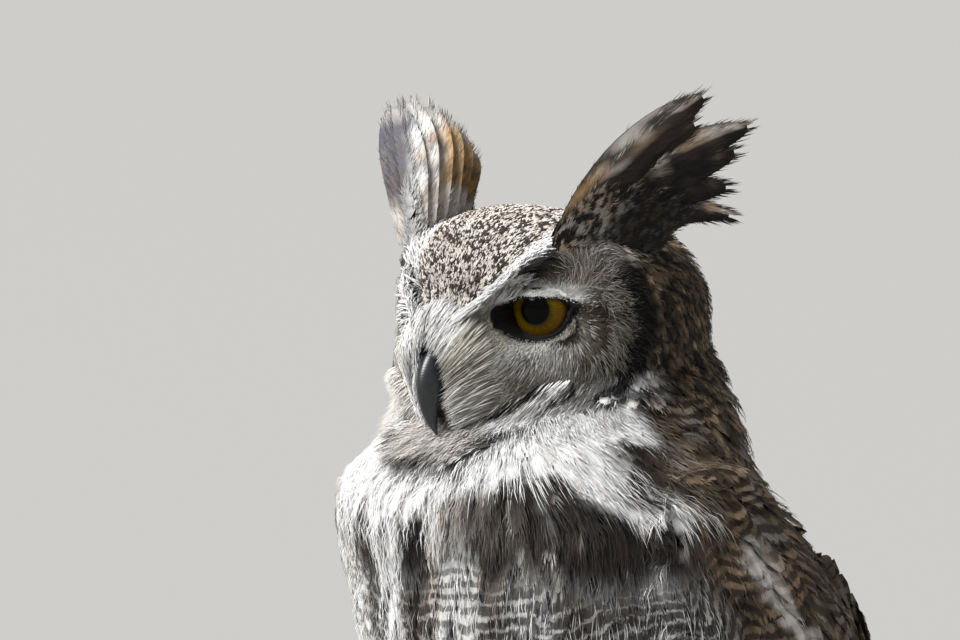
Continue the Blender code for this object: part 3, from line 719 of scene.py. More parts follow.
def shape_lids(points, side):
    """Lays the skin over the eye as two lids, and drops what lies between them behind the eye."""
    centre, outward, up, looks = eye_axes(side)
    d = points - centre
    out, high, ahead = d @ outward, d @ up, d @ looks
    far = np.linalg.norm(d, axis=1)
    gap = lid_gap(out, high)
    front = ahead > 0
    between_lids = front & (gap > 0) & (far < 24)
    lid = front & (gap <= 0) & (far < 26)
    blend = ease(11.0, 0.5, -gap) * ease(26, 19, far)
    thick = EYE_RADIUS + 1.1 + 0.5 * np.exp(-((gap + 1.2) ** 2) / 1.5)
    fold = 0.9 * np.exp(-(((-gap) - 4.6) ** 2) / 1.2) * (high > 0)
    target = centre + unit(d) * (thick - fold)[:, None]
    share = np.where(lid, blend, 0.0)[:, None]
    points = points * (1 - share) + target * share
    # What lies between the lids is sunk under the eyeball's surface.
    sunk = centre + unit(d) * (EYE_RADIUS - 2.6)
    return np.where(between_lids[:, None], sunk, points)


def skin_colour(points):
    head = head_colour(points, 0.5)
    body = body_marks(points)[0]
    h = to_head(points)
    share = ease(-64, -56, h[..., 2] - ease(0, -30, h[..., 1]) * 22)
    colour = mix(body, head, share) * 0.7
    for side in SIDES.values():
        centre, outward, up, looks = eye_axes(side)
        d = points - centre
        near = (np.linalg.norm(d, axis=1) < 27) & (d @ looks > 0)
        gap = lid_gap(d @ outward, d @ up)
        colour = mix(colour, EYE_SKIN, np.where(near, ease(-2.0, -1.4, gap), 0))
    legs = ease(128, 108, points[..., 2]) * ease(86, 74, points[..., 1])
    return mix(colour, mix(BUFF, WHITE, 0.5), legs)


class Skin:
    """The skin, and what the coat needs to know of it: surface, normals, and places to root."""

    def __init__(self):
        self.points, self.triangles = build_skin()
        corners = self.points[self.triangles]
        cross = np.cross(corners[:, 1] - corners[:, 0], corners[:, 2] - corners[:, 0])
        self.areas = np.linalg.norm(cross, axis=1) / 2
        normals = np.zeros_like(self.points)
        for i in range(3):
            np.add.at(normals, self.triangles[:, i], cross)
        self.normals = unit(normals)
        self.middles = corners.mean(1)
        self.tree = BVHTree.FromPolygons(self.points.tolist(), self.triangles.tolist())
        self.node_of = self.nearest_nodes(self.middles)

    def nearest_nodes(self, places):
        """The name of the solid that each place belongs to."""
        points, faces, owners = [], [], []
        for name in FLESH:
            p, t, _ = mesh_arrays(NODES[name].data)
            start = len(points)
            points.extend(p.tolist())
            faces.extend((t + start).tolist())
            owners += [name] * len(t)
        tree = BVHTree.FromPolygons(points, faces)
        return np.array([owners[tree.find_nearest(Vector(p))[2]] for p in places])

    def nearest(self, places):
        """The closest points of the skin, with smooth normals."""
        found = np.zeros_like(places)
        normals = np.zeros_like(places)
        for i, place in enumerate(places):
            at, _, face, _ = self.tree.find_nearest(Vector(place))
            found[i] = at
            tri = self.triangles[face]
            a, b, c = self.points[tri]
            v0, v1, v2 = b - a, c - a, np.array(at) - a
            d00, d01, d11 = v0 @ v0, v0 @ v1, v1 @ v1
            d20, d21 = v2 @ v0, v2 @ v1
            denom = d00 * d11 - d01 * d01 + 1e-12
            v, w = (d11 * d20 - d01 * d21) / denom, (d00 * d21 - d01 * d20) / denom
            first, second, third = self.normals[tri]
            normals[i] = (1 - v - w) * first + v * second + w * third
        return found, unit(normals)

    def scatter(self, weight, count):
        """Random roots on the skin, in proportion to area times weight (one weight a triangle)."""
        share = self.areas * weight
        chosen = rng.choice(len(share), count, p=share / share.sum())
        a, b = rng.random((2, count))
        flip = a + b > 1
        a, b = np.where(flip, 1 - a, a), np.where(flip, 1 - b, b)
        tri = self.triangles[chosen]
        w = np.stack((1 - a - b, a, b), 1)[..., None]
        return (self.points[tri] * w).sum(1), unit((self.normals[tri] * w).sum(1))

    def rows(self, weight, spacing):
        """Evenly spread roots, `spacing(points)` apart."""
        area = (self.areas * (weight > 0)).sum()
        gaps = spacing(self.middles[weight > 0])
        count = int(area / gaps.min() ** 2 * 5) + 50
        points, normals = self.scatter(weight, count)
        gap = spacing(points)
        cell = gap.min()
        taken = {}
        kept = []
        for i, p in enumerate(points):
            key = tuple(int(c) for c in p // cell)
            reach = int(math.ceil(gap[i] / cell))
            clear = True
            for step in product(range(-reach, reach + 1), repeat=3):
                for j in taken.get((key[0] + step[0], key[1] + step[1], key[2] + step[2]), ()):
                    q = points[j]
                    if (p[0] - q[0]) ** 2 + (p[1] - q[1]) ** 2 + (p[2] - q[2]) ** 2 < gap[i] ** 2:
                        clear = False
                        break
                if not clear:
                    break
            if clear:
                taken.setdefault(key, []).append(i)
                kept.append(i)
        return points[kept], normals[kept]


# Unwrap ------------

# The side of each feather's own patch, as a share of the unwrap.
PATCH = 0.003


def unwrapped(points):
    """Where a place on the skin lies on its unwrap: head as a rose, body and legs as sheets."""
    h = to_head(points)
    polar = np.arccos(np.clip(unit(h + row(0, 0, 8.0))[..., 1], -1, 1)) / math.pi
    turn = np.arctan2(h[..., 2] + 8, h[..., 0])
    head = np.stack((0.25 + 0.235 * polar * np.cos(turn), 0.75 + 0.235 * polar * np.sin(turn)), -1)
    x, y, z = points[..., 0], points[..., 1], points[..., 2]
    round_body = np.arctan2(x, track(BODY_AXIS, z) - y) / (2 * math.pi)
    body = np.stack((0.5 + 0.96 * round_body, 0.02 + 0.46 * np.clip(z / 360, 0, 1)), -1)
    side = np.sign(x)
    round_leg = np.arctan2(x - side * FOOT_ACROSS, FOOT_BACK - y) / (2 * math.pi)
    leg = np.stack((0.75 + side * 0.12 + 0.2 * round_leg, 0.53 + 0.44 * np.clip(z / 130, 0, 1)), -1)
    uv = np.where((h[..., 2] > -60)[..., None], head, body)
    return np.where((z < 118)[..., None], leg, uv)


# Strands and feathers ------------


def spindle_triangles(rings):
    """The triangles of a closed strand: a root, three-sided rings, and a tip."""
    tris = [(0, 1, 2), (0, 2, 3), (0, 3, 1)]
    for r in range(rings - 1):
        a, b = 1 + 3 * r, 4 + 3 * r
        for i in range(3):
            j = (i + 1) % 3
            tris += [(a + i, b + j, a + j), (a + i, b + i, b + j)]
    last, tip = 3 * rings - 2, 3 * rings + 1
    return np.array(tris + [(last, tip, last + 1), (last + 1, tip, last + 2), (last + 2, tip, last)])


def vane_triangles(rows, columns):
    """A closed thin vane: its upper face is a grid, and its under face shares the grid's rim."""
    upper = np.arange(rows * columns).reshape(rows, columns)
    under = upper.copy()
    inner = (rows - 2) * (columns - 2)
    under[1:-1, 1:-1] = rows * columns + np.arange(inner).reshape(rows - 2, columns - 2)
    tris = []
    for grid, flip in ((upper, False), (under, True)):
        for r, c in product(range(rows - 1), range(columns - 1)):
            a, b, d, e = grid[r, c], grid[r, c + 1], grid[r + 1, c + 1], grid[r + 1, c]
            tris += [(a, d, b), (a, e, d)] if flip else [(a, b, d), (a, d, e)]
    return np.array(tris)


class Coat:
    """Gathers strands and vanes, and makes them into pieces small enough to export."""

    LIMIT = 190000

    def __init__(self):
        self.parts, self.room = [], 0

    def add(self, points, triangles, uvs, normals, **marks):
        """Many like forms: arrays (form, point, ...) and the triangles of one form."""
        forms, start = len(points), 0
        while start < forms:
            if self.room < len(triangles):
                self.parts.append([])
                self.room = self.LIMIT
            count = min(forms - start, self.room // len(triangles))
            chosen = slice(start, start + count)
            rows = {key: values[chosen] for key, values in marks.items()}
            self.parts[-1].append((points[chosen], triangles, uvs[chosen], normals[chosen], rows))
            self.room -= count * len(triangles)
            start += count

    def strands(self, path, normals, widths, tints, homes, marks=None, patches=(0, 0, 1, 1), thick=0.45):
        """Strands along paths (strand, station, 3): width at each ring, tint at each station.
        homes are their roots on the unwrap, and patches their places inside a feather's patch."""
        n, stations, _ = path.shape
        marks = np.zeros((n, stations, 3)) if marks is None else marks
        patches = np.broadcast_to(np.array(patches, float), (n, 4))
        rings = stations - 2
        ways = np.gradient(path, axis=1)
        across = unit(np.cross(normals, ways))
        lift = unit(np.cross(ways, across))
        inner = path[:, 1:-1]
        half = widths[..., None] / 2
        left = inner + across[:, 1:-1] * half
        right = inner - across[:, 1:-1] * half
        top = inner + lift[:, 1:-1] * half * 2 * thick
        ring = np.stack((left, right, top), 2).reshape(n, rings * 3, 3)
        points = np.concatenate((path[:, :1], ring, path[:, -1:]), 1)

        def spread(rows):
            return np.concatenate((rows[:, :1], np.repeat(rows[:, 1:-1], 3, 1), rows[:, -1:]), 1)

        steps = np.linalg.norm(np.diff(path, axis=1), axis=2)
        along = spread(np.concatenate((np.zeros((n, 1)), np.cumsum(steps, 1)), 1))
        reach = widths.repeat(3, 1).reshape(n, rings, 3) * row(0.5, -0.5, 0.0)
        sideways = np.concatenate((np.zeros((n, 1)), reach.reshape(n, -1), np.zeros((n, 1))), 1)
        number = np.broadcast_to(rng.random((n, 1)) * 90, along.shape)
        share = np.linspace(0, 1, stations)
        share = np.concatenate((share[:1], np.repeat(share[1:-1], 3), share[-1:]))
        span = np.concatenate(((0.5,), np.tile((0.0, 1.0, 0.5), rings), (0.5,)))
        start, size = patches[:, None, :2], patches[:, None, 2:]
        local = start + size * np.stack((share, span), -1)[None]
        uv = homes[:, None] + (local - 0.5) * PATCH
        lie = np.stack((sideways, along, number), -1)
        shade = np.stack((lift + 0.3 * across, lift - 0.3 * across, lift), 2)[:, 1:-1]
        shade = shade.reshape(n, rings * 3, 3)
        shade = np.concatenate((lift[:, :1], unit(shade), lift[:, -1:]), 1)
        self.add(points, spindle_triangles(rings), uv, shade, tint=spread(tints), lie=lie, mark=spread(marks))

    def pieces(self, name, material, slot):
        made = []
        for number, part in enumerate(self.parts):
            points, triangles, uvs, normals = [], [], [], []
            marks, count = {}, 0
            for p, t, uv, n, rows in part:
                forms, per = p.shape[:2]
                offsets = count + per * np.arange(forms)[:, None, None]
                points.append(p.reshape(-1, 3))
                triangles.append((t[None] + offsets).reshape(-1, 3))
                uvs.append(uv.reshape(-1, 2))
                normals.append(n.reshape(-1, 3))
                for key, values in rows.items():
                    marks.setdefault(key, []).append(values.reshape(-1, 3))
                count += forms * per
            triangles = np.concatenate(triangles)
            print(f"{name}_{number}: {len(triangles)} triangles")
            made.append(
                mesh_piece(
                    f"{name}_{number}", np.concatenate(points), triangles, material, slot,
                    uv=np.clip(np.concatenate(uvs), 0.0005, 0.9995), normals=np.concatenate(normals),
                    **{key: np.concatenate(values) for key, values in marks.items()}
                )
            )
        return made


def along_skin(skin, roots, ways, length, stations, flow=None):
    """Paths that start at the roots and follow the skin: points, normals and ways at stations."""
    step = (length / (stations - 1))[:, None]
    at, normals = roots, skin.nearest(roots)[1]
    way = laid(ways, normals)
    path, norms, heading = [at], [normals], [way]
    for _ in range(stations - 1):
        at, normals = skin.nearest(at + way * step)
        if flow is not None:
            way = unit(way + 0.5 * flow(at))
        way = laid(way, normals)
        path.append(at)
        norms.append(normals)
        heading.append(way)
    return np.stack(path, 1), np.stack(norms, 1), np.stack(heading, 1)


def hairs(coat, skin, roots, normals, ways, length, width, lift, root_tint, tip_tint, curl=0.25, rings=1):
    """Strands that leave the skin and bend over along it."""
    ends, _ = skin.nearest(roots + laid(ways, normals) * length[:, None])
    t = np.linspace(0, 1, rings + 2)[None, :, None]
    rise = (1 - (1 - t) ** 2) + 4 * curl * t * (1 - t)
    path = roots[:, None] * (1 - t) + ends[:, None] * t + (normals * lift[:, None])[:, None] * rise
    path[:, 0] -= normals * 0.3
    tints = root_tint[:, None] * (1 - t) + tip_tint[:, None] * t
    widths = width[:, None] * np.linspace(1, 0.75, rings)[None]
    coat.strands(path, normals[:, None], widths, tints, unwrapped(roots))


def rounded(s):
    """Half width of a contour feather, as a share, from its root (0) to its tip (1)."""
    return np.clip(np.sin(math.pi * np.clip(0.14 + 0.80 * s, 0, 1)) ** 0.7, 0.1, 1)


def downy(s):
    """Half width of a soft breast feather, which ends in a point among its loose barbs."""
    t = np.clip(s, 0, 1)
    return np.clip(np.sin(math.pi * np.clip(0.14 + 0.5 * t, 0, 1)) * (1 - t**2.2) ** 0.8, 0.05, 1)


def long_vane(s):
    """Half width of a flight feather: nearly even, with a rounded end."""
    return np.clip((1 - np.clip((s - 0.78) / 0.235, 0, 1) ** 2.2) * (0.72 + 0.28 * ease(0, 0.5, s)), 0.08, 1)


def grow(
    coat, path, normals, heading, length, half_width, homes, paint, shape=rounded, rows=7, columns=5,
    camber=0.15, thickness=0.3, fringe=8, over=4, loose=5.0, barb_width=0.45, first=0.3, ridge=0.0,
    splay=34, vary=0.07
):
    """Feathers along paths (feather, station, 3), with their normals and ways. `paint(s, v, who,
    place)` gives tint and marks at a share along and across feather `who`. Each has `fringe` loose
    barbs a side, about `loose` long, and `over` barbs a side that lie on its vane."""
    n, stations, _ = path.shape
    across = unit(np.cross(heading, normals))

    def spot(who, s, v):
        """A point of the feather at a share along it, v of its half width to the side."""
        place = np.clip(s, 0, 0.9999) * (stations - 1)
        i = place.astype(int)
        t = (place - i)[..., None]
        norm = unit(normals[who, i] * (1 - t) + normals[who, i + 1] * t)
        side = unit(across[who, i] * (1 - t) + across[who, i + 1] * t)
        shaft = path[who, i] * (1 - t) + path[who, i + 1] * t
        beyond = (np.maximum(s - 1, 0) * length[who])[..., None] * heading[who, -1]
        out = v * half_width[who]
        droop = camber * v**2 * half_width[who] - ridge * np.exp(-((v / 0.12) ** 2))
        return shaft + side * out[..., None] - norm * droop[..., None] + beyond, norm

    # The vane.
    s_rows = 1 - (1 - np.linspace(0.06, 1, rows)) ** 1.25
    v_columns = np.linspace(-1, 1, columns)
    s, v = np.meshgrid(s_rows, v_columns, indexing="ij")
    wide = shape(s)
    who = np.repeat(np.arange(n), rows * columns).reshape(n, rows, columns)
    s, v = (np.broadcast_to(a, who.shape) for a in (s, v * wide))
    upper, norm = spot(who, s, v)
    tint, mark = paint(s, v, who, upper)
    streak = s * length[who] - 1.4 * np.abs(v) * half_width[who]
    lie = np.stack((streak, np.abs(v) * half_width[who] * 2, who * 7.7 % 91), -1)
    local = np.stack((0.02 + 0.96 * s, 0.5 + 0.48 * v), -1)
    uv = homes[:, None, None] + (local - 0.5) * PATCH

    def doubled(values, under):
        inner = under[:, 1:-1, 1:-1].reshape(n, -1, under.shape[-1])
        return np.concatenate((values.reshape(n, -1, values.shape[-1]), inner), 1)

    coat.add(
        doubled(upper, upper - norm * thickness), vane_triangles(rows, columns), doubled(uv, uv),
        doubled(norm, -norm), tint=doubled(tint, tint), lie=doubled(lie, lie), mark=doubled(mark, mark)
    )

    # Loose barbs along the rim, and a few that lie on the vane.
    def barbs(count, inner_v, reach_mm, rise, width):
        if not count:
            return
        who = np.repeat(np.arange(n), count * 2)
        number = np.tile(np.repeat(np.arange(count), 2), n)
        side = np.tile((1.0, -1.0), n * count)
        m = len(who)
        base = first + (0.98 - first) * (number + rng.random(m)) / count
        tipward = ease(0.5, 1.0, base)
        angle = np.radians(splay * (1 - 0.76 * tipward) * (1 + rng.normal(0, 0.3, m)))
        reach = reach_mm * (0.6 + 0.8 * rng.random(m)) * (1 + 0.25 * tipward)
        v0 = side * inner_v * shape(base) * (0.55 + 0.45 * rng.random(m))
        ds, dv = reach * np.cos(angle) / length[who], side * reach * np.sin(angle) / half_width[who]
        lifts = rise * (0.4 + 1.2 * rng.random(m))
        stops = []
        for t, raised in ((0.0, -0.1), (0.5, 0.7), (1.0, 1.0)):
            place, norm = spot(who, base + ds * t, v0 + dv * t * (1 - 0.2 * t))
            place = place + norm * (lifts * raised)[:, None]
            stops.append((place, norm, *paint(base + ds * t, v0 + dv * t, who, place)))
        places, norms, tints, marks = (np.stack(rows, 1) for rows in zip(*stops))
        across_patch = np.clip(0.5 + 0.5 * v0, 0.02, 0.9)
        patches = np.stack((np.minimum(base, 0.9), across_patch, np.full(m, 0.09), np.full(m, 0.07)), 1)
        size = width * (0.75 + 0.5 * rng.random(m))
        tints = tints * (1 - vary + 2 * vary * rng.random(m))[:, None, None]
        coat.strands(places, norms, size[:, None], tints, homes[who], marks, patches, thick=0.4)

    barbs(fringe, 0.85, loose, 0.5, barb_width)
    barbs(over, 0.35, loose * 1.2, 0.55, barb_width * 1.1)


# How many feathers are made at once, which keeps the memory small.
AT_ONCE = 700


def feathers(coat, skin, roots, ways, length, half_width, lift, paint, flow=None, stations=6, **growth):
    """Feathers rooted on the skin, which rise over it towards their tips."""
    for start in range(0, len(roots), AT_ONCE):
        some = slice(start, start + AT_ONCE)
        path, normals, heading = along_skin(skin, roots[some], ways[some], length[some], stations, flow)
        rise = lift[some, None] * (0.10 + 0.90 * np.linspace(0, 1, stations))
        rise = rise + rng.normal(0, 0.2, (len(path), 1))
        path = path + normals * rise[..., None]

        def paint_some(s, v, who, place, start=start):
            return paint(s, v, who + start, place)

        grow(
            coat, path, normals, heading, length[some], half_width[some], unwrapped(roots[some]), paint_some,
            **growth
        )


# Lie of the coat ------------


def head_flow(points):
    """The way the feathers of the head point, before they are laid on the skin."""
    h = to_head(points)
    side = np.where(h[..., 0] >= 0, 1.0, -1.0)
    x, y, z = folded(h)
    brow, here = above_brow(h), np.stack((x, y, z), -1)
    from_eye = unit(here - np.array((EYE_ACROSS + 1, EYE_AHEAD - 8, -1.0)))
    from_bill = unit(here - row(0.0, 62.0, -14.0))
    from_bill = unit(from_bill + row(0.15, -0.5, 0.0) * ease(20, 36, z)[..., None])
    down = row(0.15, 0.25, -1.0)
    back = row(0.2, -0.55, -1.0)
    along_brow = row(0.62, -0.25, 0.74)
    to_chin = row(-0.72, 0.35, -0.58)

    def turned(way, other, share):
        return way * (1 - share[..., None]) + other * share[..., None]

    way = turned(from_bill, from_eye, (1 - ease(0.95, 1.25, disc_edge(h))) * (1 - ease(-2, 2, brow)))
    way = turned(way, from_eye * 0.6 + back * 0.4, ease(1.05, 1.5, disc_edge(h)) * (1 - ease(2, 10, brow)))
    way = turned(way, along_brow, between(-5, 3, brow, 2) * between(8, 40, x, 3) * ease(12, 24, y) * 0.9)
    jaw = track(JAW, x)
    way = turned(way, to_chin, between(jaw - 10, jaw + 4, z, 3) * ease(-8, 8, y) * ease(6, 14, x))
    way = turned(way, down, ease(30, 18, x) * ease(jaw - 4, jaw - 12, z) * ease(5, 20, y))
    way = turned(way, back, ease(8, -30, y) * ease(34, 5, z))
    way = unit(way)
    return head_way(np.stack((way[..., 0] * side, way[..., 1], way[..., 2]), -1))


# How far the feathers of the back lean towards the tail, by height.
BODY_LEAN = ((340, 0.1), (300, 0.25), (250, 0.35), (200, 0.5), (150, 0.62), (90, 0.72), (20, 0.8))


def body_flow(points):
    """Down the body, leaning towards the tail as the folded wing does."""
    lean = track(BODY_LEAN, points[..., 2])
    behind = ease(-40, 30, points[..., 1] - track(BODY_AXIS, points[..., 2]))
    lean = lean * behind
    turn = body_turn(points)
    fan = between(46, 112, np.abs(turn), 10) * ease(298, 316, points[..., 2]) * 0.75
    around = np.radians(turn)
    swept_x = np.cos(around) * np.sign(turn) * fan
    down = np.stack((swept_x, lean + np.abs(np.sin(around)) * fan, -np.ones_like(lean)), -1)
    return unit(down)


def laid(ways, normals):
    return unit(ways - normals * (ways * normals).sum(-1, keepdims=True))


def eye_clearance(points):
    """How far a place is outside the opening of the nearer eye's lids."""
    clear = np.full(len(points), 99.0)
    for side in SIDES.values():
        centre, outward, up, looks = eye_axes(side)
        d = points - centre
        near = (np.linalg.norm(d, axis=1) < 28) & (d @ looks > 0)
        clear = np.where(near, np.minimum(clear, -lid_gap(d @ outward, d @ up)), clear)
    return clear


# Pieces of the coat ------------


def face_coat(skin, material):
    """Hair-like feathers of the facial discs and the chin."""
    h = to_head(skin.middles)
    y, z = h[:, 1], h[:, 2]
    on_head = np.isin(skin.node_of, ("head", "neck"))
    disc = (disc_edge(h) < 1.5) & (above_brow(h) < 1.0) & (y > -20) & (z < 30)
    chin = (z < -26) & (z > track(COLLAR, np.abs(h[:, 0])) - 2) & (y > -2) & (np.abs(h[:, 0]) < 54)
    weight = (on_head & (disc | chin) & (eye_clearance(skin.middles) > 0.5)).astype(float)
    weight *= 1 - 0.6 * (h[:, 0] > 18) * (z < track(JAW, np.abs(h[:, 0])) - 1)
    coat = Coat()
    roots, normals = skin.scatter(weight, 36000)
    hr = to_head(roots)
    z = hr[:, 2]
    clear = eye_clearance(roots)
    edge = disc_edge(hr)
    n = len(roots)
    ways = laid(head_flow(roots) + rng.normal(0, 0.12, roots.shape), normals)
    rim = between(0.98, 1.6, edge, 0.08) * ease(58, 66, bearing(hr))
    low = ease(-28, -36, z)
    length = 1.2 + 7.4 * ease(0, 13, clear) * (0.65 + 0.7 * rng.random(n)) + 3.0 * low * rng.random(n)
    lift = 0.4 + 1.4 * ease(1, 9, clear) * rng.random(n)
    lift = lift + 1.8 * rim * rng.random(n) + 1.8 * low * rng.random(n)
    width = 0.26 + 0.16 * rng.random(n)
    lid = ease(2.6, 0.4, clear) * ease(4, 1, z)
    tone = mix(head_colour(roots), EYE_SKIN, lid * 0.75)
    tip_tone = mix(head_colour(roots + ways * length[:, None] * 0.6), EYE_SKIN, lid * 0.5)
    bright = rng.random(n)
    fleck = mottle(roots, 2.2, 41)
    dark_root = 0.34 + 0.3 * bright
    root_tint = tone * dark_root[:, None]
    tip_tint = tip_tone * (0.72 + 0.4 * bright * ease(0.3, 0.6, fleck))[:, None]
    pale = (bright > 0.78) * (tip_tone.mean(1) > 0.05) * (0.2 + 0.4 * rng.random(n))
    tip_tint = mix(tip_tint, WHITE, pale)
    rim_tips = rim * (rng.random(n) < 0.25)
    tip_tint = mix(tip_tint, GREY_BROWN, rim_tips * 0.5)
    hairs(coat, skin, roots, normals, ways, length, width, lift, root_tint, tip_tint)
    # Longer loose hairs from the disc's outer half out over its black rim.
    outer = weight * (np.abs(disc_edge(h) - 0.92) < 0.14) * (bearing(h) > 52) * (h[:, 2] > -36)
    roots, normals = skin.scatter(outer, 3200)
    n = len(roots)
    ways = laid(head_flow(roots) + rng.normal(0, 0.1, roots.shape), normals)
    shade = mix(DISC_GREY, PALE_GREY, rng.random(n) ** 2)
    hairs(
        coat, skin, roots, normals, ways, 7 + 6 * rng.random(n), np.full(n, 0.3),
        0.8 + 2.2 * rng.random(n), shade * 0.4, shade * 0.95
    )
    return coat.pieces("coat_face", material, "plumage_grey")


def ruff_coat(skin, material):
    """Fluff under the discs and the chin, which stands out over the collar of the neck."""
    h = to_head(skin.middles)
    x, y, z = folded(h)
    on_head = np.isin(skin.node_of, ("head", "neck"))
    jaw = track(JAW, x)
    band = (z < jaw + 1) & (z > track(COLLAR, x) - 1) & (y > 4) & (x < 56) & (x > 15)
    chin = (z < -36) & (z > track(COLLAR, x) - 1) & (y > 20) & (x < 24)
    coat = Coat()
    for chosen, count in ((band, 5000), (chin, 4500)):
        roots, normals = skin.scatter((on_head & chosen).astype(float), count)
        hr = to_head(roots)
        side = np.sign(hr[:, 0])
        x = np.abs(hr[:, 0])
        n = len(roots)
        # Along the ruff on the left, where the chin turns aside; free and forward elsewhere.
        flat = (np.ones(n) if chosen is band else ease(8, 20, x)) * (side > 0)
        spread = ease(4, 40, x)
        free = np.stack((side * (0.15 + 0.75 * spread), 0.75 - 0.15 * spread, -0.75 + 0.25 * spread), 1)
        way = mix(free, RUFF_LIE + row(0, 0, -0.15), flat)
        way = head_way(unit(way)) + rng.normal(0, 1, roots.shape) * (0.18 - 0.11 * flat)[:, None]
        far_side = (side < 0) * (0.3 - 0.7 * ease(-42, -33, hr[:, 2]))
        length = (5 + 7 * rng.random(n)) * (1 - 0.3 * flat) * (1 + far_side)
        t = np.linspace(0, 1, 4)[None, :, None]
        stem = unit(way * 0.8 + normals * (0.75 - 0.45 * flat)[:, None])
        fall = -UP * t**2 * (0.3 * (1 - flat) * length)[:, None, None]
        start = roots + normals * (coat_depth(roots) * (0.35 + 0.4 * flat) - 0.8)[:, None]
        path = start[:, None] + stem[:, None] * t * length[:, None, None] + fall
        path = path + normals[:, None] * (0.8 * np.sin(math.pi * t * 0.7))
        bright = rng.random(n)[:, None]
        if chosen is band:
            pale = np.maximum((rng.random(n) < 0.2) * 0.6, (side < 0) * 0.9)
            tone = mix(ruff_colour(roots), CHIN_PALE, pale)
        else:
            tone = head_colour(roots)
        tip = tone * (0.92 + 0.1 * bright)
        tints = np.stack((tone * 0.8, tone, tip, tip), 1)
        widths = np.tile((0.34, 0.28), (n, 1)) * (0.8 + 0.5 * rng.random((n, 1)))
        # The fluff shows its rounded upper side.
        faces = unit(normals + head_way(row(0.0, 0.7, 1.1)))
        coat.strands(path, faces[:, None], widths, tints, unwrapped(roots))
    return coat.pieces("coat_ruff", material, "plumage_white")


# Bristles and fluff of the face. Each row has the curve that they grow from, the curve that they
# reach, their count, how far they bow out by their place along the curve, how far they arch up, how
# far forward their roots may lie, their width, and the share of them on the bird's left.
SWEEPS = {
    "lores": (
        (
            (0, 58, 1), (8, 56, 1), (14, 53, 0), (18, 52, -4), (22, 50, -11), (24, 48, -20), (24, 45, -30),
            (20, 42, -38)
        ),
        (
            (0.3, 70, -14), (4.0, 69.5, -18), (6.5, 69, -21), (7.5, 69, -25), (6.8, 68, -29),
            (6, 66.5, -34), (5, 64.5, -41), (5, 60, -48)
        ),
        3300, ((0, 3.5), (0.3, 4.5), (0.5, 5.0), (0.75, 3.4), (1, 3.0)), 0.5, 0.45, 0.45, 0.5
    ),
    "brow": (
        ((0, 58, 2), (6, 56, 0), (13, 52, 2), (18, 51, 5), (22, 51, 8), (25, 48, 12), (28, 43, 17)),
        (
            (0.5, 70, -12), (3, 70, -13), (6.5, 68, -10), (11.5, 63, -3), (17, 59, 3), (21.5, 55, 8.5),
            (25.5, 50, 13.5)
        ),
        1700, ((0, 2.2), (0.5, 2.8), (1, 2.4)), 0.4, 0.3, 0.45, 0.5
    ),
    "over_the_bill": (
        ((0, 58, 6), (5, 58, 3), (9, 56, 0), (7, 57, -4), (2, 58, -4)),
        ((0.3, 68, -6), (4, 68.5, -8), (7.5, 67.5, -10), (5, 70, -15), (1, 71, -15)),
        1200, ((0, 1.5), (1, 1.0)), 0.3, 0.5, 0.42, 0.5
    ),
    "right_of_the_bill": (
        ((6, 56, -6), (10, 54, -12), (13, 52, -20), (14, 49, -28), (13, 45, -36)),
        ((2.0, 70.5, -16), (3.2, 70.5, -22), (4.0, 70, -29), (4.2, 68.5, -36), (4.5, 65, -43)),
        700, ((0, 2.5), (1, 2.0)), 0.3, 0.4, 0.42, 0.0
    ),
    "under_the_bill": (
        ((15, 48, -33), (14, 45, -39), (11, 43, -45), (6, 43, -48)),
        ((5, 61, -38), (4, 58, -44), (3, 55, -50), (1, 52, -53)),
        500, ((0, 2.0), (1, 1.0)), 0.3, 0.4, 0.42, 0.5
    ),
    "corner_of_the_right_eye": (
        ((16, 51, 6), (18, 51, 2), (19, 50, -4), (20, 48, -12), (20, 46, -22)),
        ((26, 52, 13), (28, 52, 4), (29, 51, -6), (28, 50, -18), (25, 50, -30)),
        700, ((0, 2.5), (1, 3.0)), 0.3, 0.4, 0.42, 0.0
    )
}


def swept(coat, skin, colour, starts, ends, count, swell, arch, back, width, left):
    """Bristles that sweep from one curve to another, as a row of the sweeps says."""
    starts, ends = np.array(starts, float), np.array(ends, float)
    p = rng.random(count) * (len(starts) - 1.001)
    i, t = p.astype(int), (p % 1)[:, None]
    start, end = (r[i] * (1 - t) + r[i + 1] * t for r in (starts, ends))
    share = p / (len(starts) - 1)
    start = start + (end - start) * back * rng.random((count, 1)) ** 1.5 + rng.normal(0, 1.0, (count, 3))
    end = end + rng.normal(0, 0.9, (count, 3)) - (end - start) * 0.35 * rng.random((count, 1)) ** 1.3
    stations = np.linspace(0, 1, 4)[None, :, None]
    local = start[:, None] * (1 - stations) + end[:, None] * stations
    bow = track(swell, share) * (0.55 + 0.6 * rng.random(count))
    bow_way = unit(row(0.66, 0.62, 0.2))
    local = local + (bow_way * bow[:, None])[:, None] * np.sin(math.pi * stations * 0.85)
    local = local + UP * arch * (stations - stations**2) * 4
    local[..., 0] = np.maximum(local[..., 0], 0.2) * np.where(rng.random(count) < left, 1, -1)[:, None]
    path = from_head(local)
    roots, normals = skin.nearest(path[:, 0])
    path[:, 0] = roots - normals * 0.3
    tints = colour(local, share)
    widths = np.full((count, 2), width) * (0.7 + 0.6 * rng.random((count, 1)))
    faces = head_way(np.stack((np.sign(local[:, 1, 0]) * 0.7, np.full(count, 0.55), np.full(count, 0.45)), 1))
    coat.strands(path, unit(faces)[:, None], widths, tints, unwrapped(roots))


